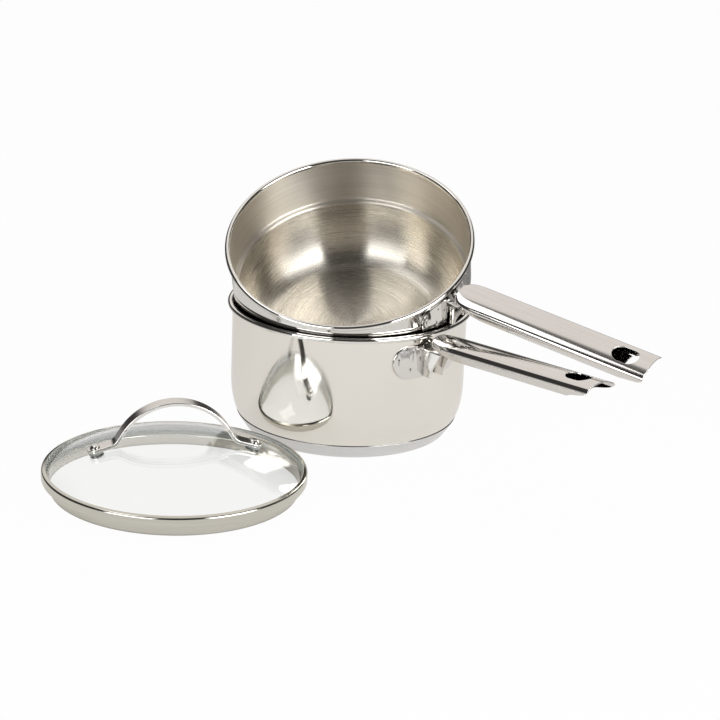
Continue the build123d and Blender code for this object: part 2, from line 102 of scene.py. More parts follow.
def add_object(name: str, mesh: bpy.types.Mesh) -> bpy.types.Object:
    """Put a mesh in the scene as an object of the same name."""
    mesh.name = name
    piece = bpy.data.objects.new(name, mesh)
    bpy.context.scene.collection.objects.link(piece)
    return piece


def set_normals(mesh: bpy.types.Mesh, normals: list[Vector]) -> None:
    """Give every vertex of a mesh the normal that its true surface has there."""
    mesh.polygons.foreach_set("use_smooth", [True] * len(mesh.polygons))
    mesh.normals_split_custom_set_from_vertices(normals)


# Node building


class Graph:
    """A node tree under construction, with short calls for its usual nodes."""

    def __init__(self, tree: bpy.types.NodeTree) -> None:
        """Keep the tree that nodes are added to."""
        self.tree = tree

    def node(self, kind: str, **settings: object) -> bpy.types.Node:
        """Add a node and set its properties.

        Args:
            kind: Blender's name of the node type.
            settings: properties of the node to set.

        Returns:
            The new node.
        """
        made = self.tree.nodes.new(kind)
        for key, value in settings.items():
            setattr(made, key, value)
        return made

    def feed(self, target: bpy.types.NodeSocket, source: object) -> None:
        """Link a socket into another, or set a plain value on it."""
        if isinstance(source, bpy.types.NodeSocket):
            self.tree.links.new(source, target)
        else:
            target.default_value = source

    def math(self, operation: str, first: object, second: object = 0.0, third: object = 0.0) -> bpy.types.NodeSocket:
        """Result of a Math node.

        Args:
            operation: name of the sum.
            first: socket or number.
            second: socket or number, where the sum has one.
            third: socket or number, where the sum has one.

        Returns:
            The node's output.
        """
        made = self.node("ShaderNodeMath", operation=operation)
        for socket, source in zip(made.inputs, (first, second, third)):
            self.feed(socket, source)
        return made.outputs[0]

    def combine(self, x: object, y: object, z: object) -> bpy.types.NodeSocket:
        """Vector made of three sockets or numbers."""
        made = self.node("ShaderNodeCombineXYZ")
        for socket, source in zip(made.inputs, (x, y, z)):
            self.feed(socket, source)
        return made.outputs[0]

    def spread(self, value: object, low: object, high: object, to_low: object, to_high: object,
               smooth: bool = False) -> bpy.types.NodeSocket:
        """Value moved from one range to another and held inside it.

        Args:
            value: socket or number to move.
            low: start of the range it has.
            high: end of the range it has.
            to_low: start of the range it gets.
            to_high: end of the range it gets.
            smooth: whether it eases in and out.

        Returns:
            The moved value.
        """
        made = self.node("ShaderNodeMapRange", clamp=True)
        made.interpolation_type = "SMOOTHSTEP" if smooth else "LINEAR"
        for socket, source in zip(made.inputs, (value, low, high, to_low, to_high)):
            self.feed(socket, source)
        return made.outputs[0]


class Finish(Graph):
    """A material under construction: one Principled shader and what feeds it."""

    def __init__(self, name: str) -> None:
        """Start an empty material with its shader and output."""
        self.material = bpy.data.materials.new(name)
        self.material.use_nodes = True
        super().__init__(self.material.node_tree)
        self.tree.nodes.clear()
        self.output = self.node("ShaderNodeOutputMaterial")
        self.shader = self.node("ShaderNodeBsdfPrincipled")
        self.feed(self.output.inputs["Surface"], self.shader.outputs[0])

    def put(self, socket: str, source: object) -> None:
        """Link or set one input of the shader."""
        self.feed(self.shader.inputs[socket], source)

    def place(self) -> bpy.types.NodeSocket:
        """Place on the object, in metres."""
        return self.node("ShaderNodeTexCoord").outputs["Object"]

    def run(self) -> tuple[bpy.types.NodeSocket, bpy.types.NodeSocket]:
        """The piece's own two surface coordinates."""
        layer = self.node("ShaderNodeUVMap", uv_map=UV_NAME)
        parts = self.node("ShaderNodeSeparateXYZ")
        self.feed(parts.inputs[0], layer.outputs[0])
        return parts.outputs[0], parts.outputs[1]

    def noise(self, vector: object, scale: float, detail: float = 2.0) -> bpy.types.NodeSocket:
        """Grey noise at a scale."""
        made = self.node("ShaderNodeTexNoise")
        self.feed(made.inputs["Vector"], vector)
        self.feed(made.inputs["Scale"], scale)
        self.feed(made.inputs["Detail"], detail)
        return made.outputs["Fac"]

    def tint(self, amount: object, low: tuple, high: tuple) -> bpy.types.NodeSocket:
        """Colour between two colours."""
        made = self.node("ShaderNodeMix", data_type="RGBA")
        self.feed(made.inputs["Factor"], amount)
        self.feed(made.inputs[6], (*low, 1.0))
        self.feed(made.inputs[7], (*high, 1.0))
        return made.outputs[2]

    def with_painted_shade(self, colour: object, reach: float, dark: float = 0.3) -> bpy.types.NodeSocket:
        """Colour with painted shade: darker in seams, under lips and where pieces meet.

        Args:
            colour: colour of the open surface.
            reach: how near another surface must be, in metres.
            dark: share of the colour that stays where the painted shade is deepest.

        Returns:
            The colour with its painted shade.
        """
        # Ambient occlusion darkens the colour: painted shade in seams and where pieces meet.
        hollow = self.node("ShaderNodeAmbientOcclusion", samples=6)
        self.feed(hollow.inputs["Distance"], reach)
        share = self.spread(hollow.outputs["AO"], 0.25, 0.9, dark, 1.0)
        made = self.node("ShaderNodeVectorMath", operation="SCALE")
        self.feed(made.inputs[0], colour)
        self.feed(made.inputs["Scale"], share)
        return made.outputs[0]

    def bump(self, height: object, depth: float, strength: float, below: object = None) -> bpy.types.NodeSocket:
        """Normal disturbed by a height.

        Args:
            height: grey height.
            depth: what a height of one stands for, in metres.
            strength: share of the effect.
            below: normal that this one is added to.

        Returns:
            The new normal.
        """
        made = self.node("ShaderNodeBump")
        self.feed(made.inputs["Height"], height)
        self.feed(made.inputs["Distance"], depth)
        self.feed(made.inputs["Strength"], strength)
        if below is not None:
            self.feed(made.inputs["Normal"], below)
        return made.outputs[0]


# Finishes


@dataclass(frozen=True)
class PolishedSteel:
    """Drawn and mirror-polished steel: slow waves, fine wipe marks and faint smudges, with shade painted into its
    colour in seams and where pieces meet.
    """

    name: str
    colour: tuple = (0.785, 0.77, 0.745)
    roughness: Pair = (0.045, 0.11)
    wave_scale: float = 14.0
    wave_depth: float = 0.0006
    wipe_scale: float = 240.0
    shade_reach: float = 0.0025

    def build(self) -> bpy.types.Material:
        """Make the material."""
        finish = Finish(self.name)
        place = finish.place()
        wave = finish.noise(place, self.wave_scale, 1.0)
        wipe = finish.noise(place, self.wipe_scale, 4.0)
        smudge = finish.noise(place, self.wave_scale * 2.2, 5.0)
        rough = finish.spread(smudge, 0.35, 0.75, *self.roughness, smooth=True)
        open_colour = finish.tint(smudge, tuple(0.965 * c for c in self.colour), self.colour)
        # Painted shade: the colour darkens in seams and where pieces meet.
        finish.put("Base Color", finish.with_painted_shade(open_colour, self.shade_reach))
        finish.put("Metallic", 1.0)
        finish.put("Roughness", rough)
        normal = finish.bump(wave, self.wave_depth, 0.5)
        finish.put("Normal", finish.bump(wipe, 0.000012, 0.25, normal))
        return finish.material


@dataclass(frozen=True)
class TurnedSatin:
    """Steel brushed round its axis: fine rings, a highlight that fans out across them."""

    name: str
    colour: tuple = (0.80, 0.76, 0.69)
    dark: tuple = (0.68, 0.64, 0.57)
    roughness: Pair = (0.24, 0.30)
    anisotropy: float = 0.98
    ring_scale: float = 900.0
    ring_depth: float = 0.000025
    wall_run: Pair = (0.0, 0.0)
    wall_roughness: float = 0.40
    wall_anisotropy: float = 0.85
    shade_reach: float = 0.0

    def build(self) -> bpy.types.Material:
        """Make the material."""
        finish = Finish(self.name)
        around, along = finish.run()
        angle = finish.math("MULTIPLY", around, 2 * pi)
        slow = finish.combine(
            finish.math("COSINE", angle), finish.math("SINE", angle), finish.math("MULTIPLY", along, self.ring_scale)
        )
        rings = finish.noise(slow, 1.3, 3.0)
        coarse = finish.combine(
            finish.math("COSINE", angle),
            finish.math("SINE", angle),
            finish.math("MULTIPLY", along, self.ring_scale / 6),
        )
        bands = finish.noise(coarse, 1.0, 2.0)
        both = finish.math("ADD", finish.math("MULTIPLY", rings, 0.65), finish.math("MULTIPLY", bands, 0.35))
        colour = finish.tint(finish.spread(both, 0.3, 0.7, 0.0, 1.0), self.dark, self.colour)
        # Painted shade in seams and where pieces meet, when a shade reach is given.
        finish.put("Base Color", finish.with_painted_shade(colour, self.shade_reach) if self.shade_reach else colour)
        finish.put("Metallic", 1.0)
        rough = finish.spread(both, 0.3, 0.7, self.roughness[1], self.roughness[0])
        if self.wall_run[1] > 0:
            start, end = self.wall_run
            wall = finish.math("MULTIPLY", finish.spread(along, start - 0.001, start, 0.0, 1.0),
                               finish.spread(along, end, end + 0.001, 1.0, 0.0))
            rest = finish.math("SUBTRACT", 1.0, wall)
            rough = finish.math("ADD", finish.math("MULTIPLY", rough, rest),
                                finish.math("MULTIPLY", wall, self.wall_roughness))
            finish.put("Anisotropic", finish.math("ADD", finish.math("MULTIPLY", rest, self.anisotropy),
                                                  finish.math("MULTIPLY", wall, self.wall_anisotropy)))
        else:
            finish.put("Anisotropic", self.anisotropy)
        finish.put("Roughness", rough)
        finish.put("Anisotropic Rotation", 0.25)
        tangent = finish.node("ShaderNodeTangent", direction_type="UV_MAP", uv_map=UV_NAME)
        finish.put("Tangent", tangent.outputs[0])
        finish.put("Normal", finish.bump(both, self.ring_depth, 0.35))
        return finish.material


@dataclass(frozen=True)
class LengthBrushed:
    """Steel sheet brushed along the handle, with its grain in long fine lines."""

    name: str
    colour: tuple = (0.80, 0.775, 0.75)
    dark: tuple = (0.70, 0.675, 0.65)
    roughness: Pair = (0.07, 0.12)
    anisotropy: float = 0.3
    grain_scale: float = 1500.0
    grain_stretch: float = 0.03

    def build(self) -> bpy.types.Material:
        """Make the material."""
        finish = Finish(self.name)
        along, across = finish.run()
        grain = finish.noise(
            finish.combine(finish.math("MULTIPLY", along, self.grain_stretch), across, 0.0), self.grain_scale, 3.0
        )
        streak = finish.noise(
            finish.combine(finish.math("MULTIPLY", along, self.grain_stretch), across, 0.0), self.grain_scale / 5, 2.0
        )
        both = finish.math("ADD", finish.math("MULTIPLY", grain, 0.6), finish.math("MULTIPLY", streak, 0.4))
        finish.put("Base Color", finish.tint(finish.spread(both, 0.3, 0.7, 0.0, 1.0), self.dark, self.colour))
        finish.put("Metallic", 1.0)
        finish.put("Roughness", finish.spread(both, 0.3, 0.7, self.roughness[1], self.roughness[0]))
        finish.put("Anisotropic", self.anisotropy)
        finish.put("Anisotropic Rotation", 0.25)
        tangent = finish.node("ShaderNodeTangent", direction_type="UV_MAP", uv_map=UV_NAME)
        finish.put("Tangent", tangent.outputs[0])
        finish.put("Normal", finish.bump(both, 0.00002, 0.3))
        return finish.material


@dataclass(frozen=True)
class ClearGlass:
    """Tempered glass with a faint green cast and the slow waves of a pressed dome."""

    name: str
    colour: tuple = (0.915, 0.924, 0.91)

    def build(self) -> bpy.types.Material:
        """Make the material."""
        finish = Finish(self.name)
        place = finish.place()
        wave = finish.noise(place, 22.0, 1.0)
        film = finish.noise(place, 60.0, 4.0)
        finish.put("Base Color", (*self.colour, 1.0))
        finish.put("Roughness", finish.spread(film, 0.4, 0.75, 0.0, 0.012))
        finish.put("IOR", 1.5)
        finish.put("Specular IOR Level", 0.15)
        finish.put("Transmission Weight", 1.0)
        finish.put("Normal", finish.bump(wave, 0.0001, 0.3))
        return finish.material


@dataclass(frozen=True)
class Silicone:
    """Soft matt moulded ring."""

    name: str
    colour: tuple = (0.30, 0.32, 0.30)

    def build(self) -> bpy.types.Material:
        """Make the material."""
        finish = Finish(self.name)
        place = finish.place()
        speck = finish.noise(place, 900.0, 3.0)
        finish.put("Base Color", finish.tint(speck, tuple(0.9 * c for c in self.colour), self.colour))
        finish.put("Roughness", finish.spread(speck, 0.3, 0.7, 0.42, 0.6))
        finish.put("Normal", finish.bump(speck, 0.00002, 0.4))
        return finish.material


@dataclass(frozen=True)
class PlainAluminium:
    """Rolled aluminium with a soft grain."""

    name: str
    colour: tuple = (0.80, 0.80, 0.81)

    def build(self) -> bpy.types.Material:
        """Make the material."""
        finish = Finish(self.name)
        place = finish.place()
        grain = finish.noise(place, 500.0, 4.0)
        finish.put("Base Color", finish.tint(grain, tuple(0.92 * c for c in self.colour), self.colour))
        finish.put("Metallic", 1.0)
        finish.put("Roughness", finish.spread(grain, 0.3, 0.7, 0.32, 0.48))
        finish.put("Normal", finish.bump(grain, 0.00002, 0.3))
        return finish.material


class Materials:
    """The finishes of the whole set, made once."""

    def __init__(self) -> None:
        """Build every material that the pieces use."""
        # Every PolishedSteel finish below paints shade into its colour in seams and where pieces meet.
        self.pan_polish = PolishedSteel("pan_polish", colour=(0.90, 0.872, 0.815)).build()
        self.lip_polish = PolishedSteel("lip_polish", colour=(0.86, 0.845, 0.81), roughness=(0.03, 0.08)).build()
        self.pan_inside = TurnedSatin("pan_inside", roughness=(0.2, 0.32), anisotropy=0.7).build()
        self.cap_turned = TurnedSatin(
            "cap_turned", colour=(0.78, 0.78, 0.78), dark=(0.7, 0.7, 0.7), roughness=(0.14, 0.24), anisotropy=0.6
        ).build()
        self.insert_outside = PolishedSteel("insert_outside", roughness=(0.05, 0.12)).build()
        self.handle_grain = LengthBrushed("handle_grain").build()
        self.cut_edge = PolishedSteel("cut_edge", colour=(0.86, 0.85, 0.83), roughness=(0.06, 0.12)).build()
        # The bracket's colour gets painted shade in its folds and along the wall it sits on.
        self.bracket_press = PolishedSteel(
            "bracket_press", colour=(0.80, 0.78, 0.755), roughness=(0.08, 0.16), wave_scale=60.0, wave_depth=0.0004,
            shade_reach=0.004
        ).build()
        self.weld_scorch = PolishedSteel("weld_scorch", colour=(0.26, 0.21, 0.17), roughness=(0.25, 0.4)).build()
        self.lid_glass = ClearGlass("lid_clear_glass").build()
        # The band's colour gets painted shade in its folds and where it meets other pieces.
        self.band_satin = TurnedSatin(
            "band_satin", colour=(0.68, 0.665, 0.605), dark=(0.60, 0.585, 0.53), roughness=(0.10, 0.17), anisotropy=0.5,
            shade_reach=0.002,
        ).build()
        self.silicone = Silicone("seal_silicone").build()
        self.gasket = Silicone("gasket_silicone", colour=(0.80, 0.83, 0.79)).build()
        self.aluminium = PlainAluminium("core_aluminium_grain").build()
        self.strap_satin = LengthBrushed("strap_satin", roughness=(0.14, 0.24)).build()
        self.rivet_polish = PolishedSteel("rivet_polish", roughness=(0.07, 0.14), wave_scale=200.0).build()


# Turned sheet


@dataclass(frozen=True)
class Sample:
    """One point of a sheet's section: its place, its outward normal and its zone."""

    point: Pair
    normal: Pair
    zone: Zone


@dataclass(frozen=True)
class SheetLine:
    """Middle line of a bent sheet: corners and the bend radius at each inner corner."""

    corners: list[Pair]
    radii: list[float]
    thickness: float
    lip_bends: int = 0
    step_angle: float = 6.0

    def centre_run(self) -> list[tuple[Pair, Pair, bool]]:
        """Points along the middle line.

        Returns:
            Place, heading and whether the point belongs to the lip, for each point.
        """
        corners = self.corners
        run = [(corners[0], direction(corners[0], corners[1]), self.lip_bends > 0)]
        for index, radius in enumerate(self.radii):
            before, corner, after = corners[index], corners[index + 1], corners[index + 2]
            first, second = direction(before, corner), direction(corner, after)
            turn = atan2(first[0] * second[1] - first[1] * second[0], first[0] * second[0] + first[1] * second[1])
            side = 1 if turn > 0 else -1
            enter = shifted(corner, first, -radius * tan(abs(turn) / 2))
            centre = shifted(enter, left_of(first), side * radius)
            count = max(2, ceil(abs(degrees(turn)) / self.step_angle))
            for step in range(count + 1):
                heading_angle = atan2(first[1], first[0]) + turn * step / count
                heading = (cos(heading_angle), sin(heading_angle))
                point = shifted(centre, left_of(heading), -side * radius)
                run.append((point, heading, index < self.lip_bends))
            if index == self.lip_bends - 1:
                run.append((shifted(point, heading, self.thickness), heading, False))
        run.append((corners[-1], direction(corners[-2], corners[-1]), False))
        return run

    def section(self) -> list[Sample]:
        """Closed section from the axis, up the outside, round the free edge and down the inside."""
        half = self.thickness / 2
        run = self.centre_run()
        left = []
        right = []
        for point, heading, in_lip in run:
            outward = left_of(heading)
            inward = (-outward[0], -outward[1])
            left.append(Sample(shifted(point, outward, half), outward, Zone.LIP if in_lip else Zone.OUTSIDE))
            right.append(Sample(shifted(point, inward, half), inward, Zone.LIP if in_lip else Zone.INSIDE))
        start, heading, in_lip = run[0]
        edge = []
        for step in range(1, 6):
            turn = atan2(heading[1], heading[0]) + pi / 2 + pi * step / 6
            normal = (cos(turn), sin(turn))
            edge.append(Sample(shifted(start, normal, half), normal, Zone.LIP))
        return list(reversed(left)) + edge + right


class TurningTree(Graph):
    """Geometry nodes that turn a section about the Z axis into a closed shell with its own coordinates."""

    def __init__(self) -> None:
        """Build the tree."""
        super().__init__(bpy.data.node_groups.new("turn_section", "GeometryNodeTree"))
        face = self.tree.interface
        face.new_socket(name="Section", in_out="INPUT", socket_type="NodeSocketGeometry")
        face.new_socket(name="Segments", in_out="INPUT", socket_type="NodeSocketInt")
        face.new_socket(name="Weld Distance", in_out="INPUT", socket_type="NodeSocketFloat")
        for zone in Zone:
            face.new_socket(name=zone.name.title(), in_out="INPUT", socket_type="NodeSocketMaterial")
        face.new_socket(name="Shell", in_out="OUTPUT", socket_type="NodeSocketGeometry")
        start = self.node("NodeGroupInput").outputs
        count = self.node("GeometryNodeAttributeDomainSize", component="MESH")
        self.feed(count.inputs[0], start["Section"])
        rows = count.outputs["Point Count"]
        grid = self.node("GeometryNodeMeshGrid")
        self.feed(grid.inputs["Vertices X"], self.math("ADD", start["Segments"], 1.0))
        self.feed(grid.inputs["Vertices Y"], rows)
        index = self.node("GeometryNodeInputIndex").outputs[0]
        row = self.math("MODULO", index, rows)
        share = self.math("DIVIDE", self.math("FLOOR", self.math("DIVIDE", self.math("ADD", index, 0.5), rows)),
                          start["Segments"])
        angle = self.math("MULTIPLY", share, 2 * pi)
        position = self.node("GeometryNodeInputPosition").outputs[0]
        spun = self.node("GeometryNodeSetPosition")
        self.feed(spun.inputs["Geometry"], grid.outputs["Mesh"])
        self.feed(spun.inputs["Position"], self.spin(self.sampled(start["Section"], position, row), angle))
        run = self.sampled(start["Section"], self.attribute("run", "FLOAT"), row, "FLOAT")
        facing = self.spin(self.sampled(start["Section"], self.attribute("facing", "FLOAT_VECTOR"), row), angle)
        zone = self.sampled(start["Section"], self.attribute("zone", "FLOAT"), row, "FLOAT")
        shape = self.stored(spun.outputs[0], "share", "FLOAT", "POINT", share)
        shape = self.stored(shape, "run", "FLOAT", "POINT", run)
        shape = self.stored(shape, "facing", "FLOAT_VECTOR", "POINT", facing)
        shape = self.stored(shape, "zone", "FLOAT", "POINT", zone)
        spot = self.combine(self.attribute("share", "FLOAT"), self.attribute("run", "FLOAT"), 0.0)
        shape = self.stored(shape, UV_NAME, "FLOAT2", "CORNER", spot)
        merged = self.node("GeometryNodeMergeByDistance")
        self.feed(merged.inputs["Geometry"], shape)
        self.feed(merged.inputs["Distance"], start["Weld Distance"])
        whole = self.node("GeometryNodeRealizeInstances")
        self.feed(whole.inputs[0], merged.outputs[0])
        zone_here = self.attribute("zone", "FLOAT")
        shape = self.painted(whole.outputs[0], start["Lip"], None)
        shape = self.painted(shape, start["Outside"], self.math("LESS_THAN", zone_here, Zone.LIP.value - 0.5))
        shape = self.painted(shape, start["Inside"], self.math("GREATER_THAN", zone_here, Zone.LIP.value + 0.5))
        self.feed(self.node("NodeGroupOutput").inputs[0], shape)

    def attribute(self, name: str, kind: str) -> bpy.types.NodeSocket:
        """Read a named attribute."""
        made = self.node("GeometryNodeInputNamedAttribute", data_type=kind)
        made.inputs["Name"].default_value = name
        return made.outputs[0]

    def sampled(self, geometry: object, value: object, row: object, kind: str = "FLOAT_VECTOR") -> bpy.types.NodeSocket:
        """Value of the section at a row."""
        made = self.node("GeometryNodeSampleIndex", data_type=kind, domain="POINT")
        self.feed(made.inputs["Geometry"], geometry)
        self.feed(made.inputs["Value"], value)
        self.feed(made.inputs["Index"], row)
        return made.outputs[0]

    def spin(self, vector: object, angle: object) -> bpy.types.NodeSocket:
        """Vector of the section turned about the axis."""
        parts = self.node("ShaderNodeSeparateXYZ")
        self.feed(parts.inputs[0], vector)
        x = self.math("MULTIPLY", parts.outputs[0], self.math("COSINE", angle))
        y = self.math("MULTIPLY", parts.outputs[0], self.math("SINE", angle))
        return self.combine(x, y, parts.outputs[2])

    def stored(self, geometry: object, name: str, kind: str, domain: str, value: object) -> bpy.types.NodeSocket:
        """Geometry with a value stored on it."""
        made = self.node("GeometryNodeStoreNamedAttribute", data_type=kind, domain=domain)
        made.inputs["Name"].default_value = name
        self.feed(made.inputs["Geometry"], geometry)
        self.feed(made.inputs["Value"], value)
        return made.outputs[0]

    def painted(self, geometry: object, material: object, chosen: object) -> bpy.types.NodeSocket:
        """Geometry with a material on the chosen faces."""
        made = self.node("GeometryNodeSetMaterial")
        self.feed(made.inputs["Geometry"], geometry)
        self.feed(made.inputs["Material"], material)
        if chosen is not None:
            self.feed(made.inputs["Selection"], chosen)
        return made.outputs[0]


def run_tree(name: str, base: bpy.types.Mesh, tree: bpy.types.NodeTree, inputs: dict[str, object]) -> bpy.types.Mesh:
    """Run a geometry node tree on a mesh and keep the result as a plain mesh.

    Args:
        name: name for the object that carries the modifier meanwhile.
        base: mesh that goes in.
        tree: the node tree.
        inputs: value for each named input.

    Returns:
        The resulting mesh.
    """
    carrier = bpy.data.objects.new(name, base)
    bpy.context.scene.collection.objects.link(carrier)
    modifier = carrier.modifiers.new("shape", "NODES")
    modifier.node_group = tree
    for socket in tree.interface.items_tree:
        if socket.in_out == "INPUT" and socket.name in inputs:
            modifier[socket.identifier] = inputs[socket.name]
    carrier.update_tag()
    bpy.context.view_layer.update()
    graph = bpy.context.evaluated_depsgraph_get()
    mesh = bpy.data.meshes.new_from_object(carrier.evaluated_get(graph), preserve_all_data_layers=True, depsgraph=graph)
    carrier.modifiers.clear()
    bpy.data.objects.remove(carrier)
    bpy.data.meshes.remove(base)
    return mesh


@dataclass
class Lathe:
    """Turns sheet sections into finished pieces."""

    segments: int = 256
    weld_distance: float = 0.000002
    tree: TurningTree = field(default_factory=TurningTree)

    def turn(self, name: str, section: list[Sample], finishes: dict[Zone, bpy.types.Material],
             place: Matrix = Matrix.Identity(4), segments: int = 0) -> bpy.types.Object:
        """Turn a section into a piece.

        Args:
            name: name of the piece.
            section: its section from axis to axis, or round and closed.
            finishes: material of each zone.
            place: where the piece stands, in metres.
            segments: steps round the axis, where not the usual number.

        Returns:
            The piece.
        """
        points = [Vector((s.point[0], 0, s.point[1])) * MM for s in section]
        runs = [0.0]
        for before, after in zip(points, points[1:]):
            runs.append(runs[-1] + (after - before).length)
        base = bpy.data.meshes.new(name + "_section")
        base.from_pydata(points, [(i, i + 1) for i in range(len(points) - 1)], [])
        base.attributes.new("run", "FLOAT", "POINT").data.foreach_set("value", runs)
        facing = [c for s in section for c in (s.normal[0], 0.0, s.normal[1])]
        base.attributes.new("facing", "FLOAT_VECTOR", "POINT").data.foreach_set("vector", facing)
        base.attributes.new("zone", "FLOAT", "POINT").data.foreach_set("value", [float(s.zone.value) for s in section])
        inputs = {"Segments": segments or self.segments, "Weld Distance": self.weld_distance}
        for zone in Zone:
            inputs[zone.name.title()] = finishes.get(zone, finishes[Zone.OUTSIDE])
        mesh = run_tree(name + "_carrier", base, self.tree.tree, inputs)
        normals = np.empty(3 * len(mesh.vertices), dtype=np.float32)
        mesh.attributes["facing"].data.foreach_get("vector", normals)
        mesh.transform(place)
        turn = place.to_3x3()
        set_normals(mesh, [(turn @ Vector(n)).normalized() for n in normals.reshape(-1, 3)])
        for spare in ("facing", "zone", "share", "run"):
            mesh.attributes.remove(mesh.attributes[spare])
        return add_object(name, mesh)


# Sheet cut from a flat blank


Place3 = Callable[[float, float], Vector]


def inside_loop(points: np.ndarray, loop: list[Pair]) -> np.ndarray:
    """Which 2-D points lie inside a closed loop."""
    result = np.zeros(len(points), dtype=bool)
    x, y = points[:, 0], points[:, 1]
    for (x0, y0), (x1, y1) in zip(loop, loop[1:] + loop[:1]):
        if y0 == y1:
            continue
        crosses = (y0 > y) != (y1 > y)
        result ^= crosses & (x < (x1 - x0) * (y - y0) / (y1 - y0) + x0)
    return result


def resampled(loop: list[Pair], step: float) -> list[Pair]:
    """Closed loop with its long sides divided."""
    points = []
    for start, end in zip(loop, loop[1:] + loop[:1]):
        length = hypot(end[0] - start[0], end[1] - start[1])
        if length < 1e-6:
            continue
        count = max(1, ceil(length / step))
        points += [shifted(start, direction(start, end), length * k / count) for k in range(count)]
    return points


def inset(loop: list[Pair], distance: float) -> list[Pair]:
    """Closed loop moved to its left by a distance, corner by corner."""
    moved = []
    for before, point, after in zip(loop[-1:] + loop[:-1], loop, loop[1:] + loop[:1]):
        first, second = direction(before, point), direction(point, after)
        normal = (left_of(first)[0] + left_of(second)[0], left_of(first)[1] + left_of(second)[1])
        size = hypot(*normal)
        cosine = max(0.35, size / 2)
        moved.append(shifted(point, (normal[0] / size, normal[1] / size), distance / cosine))
    return moved


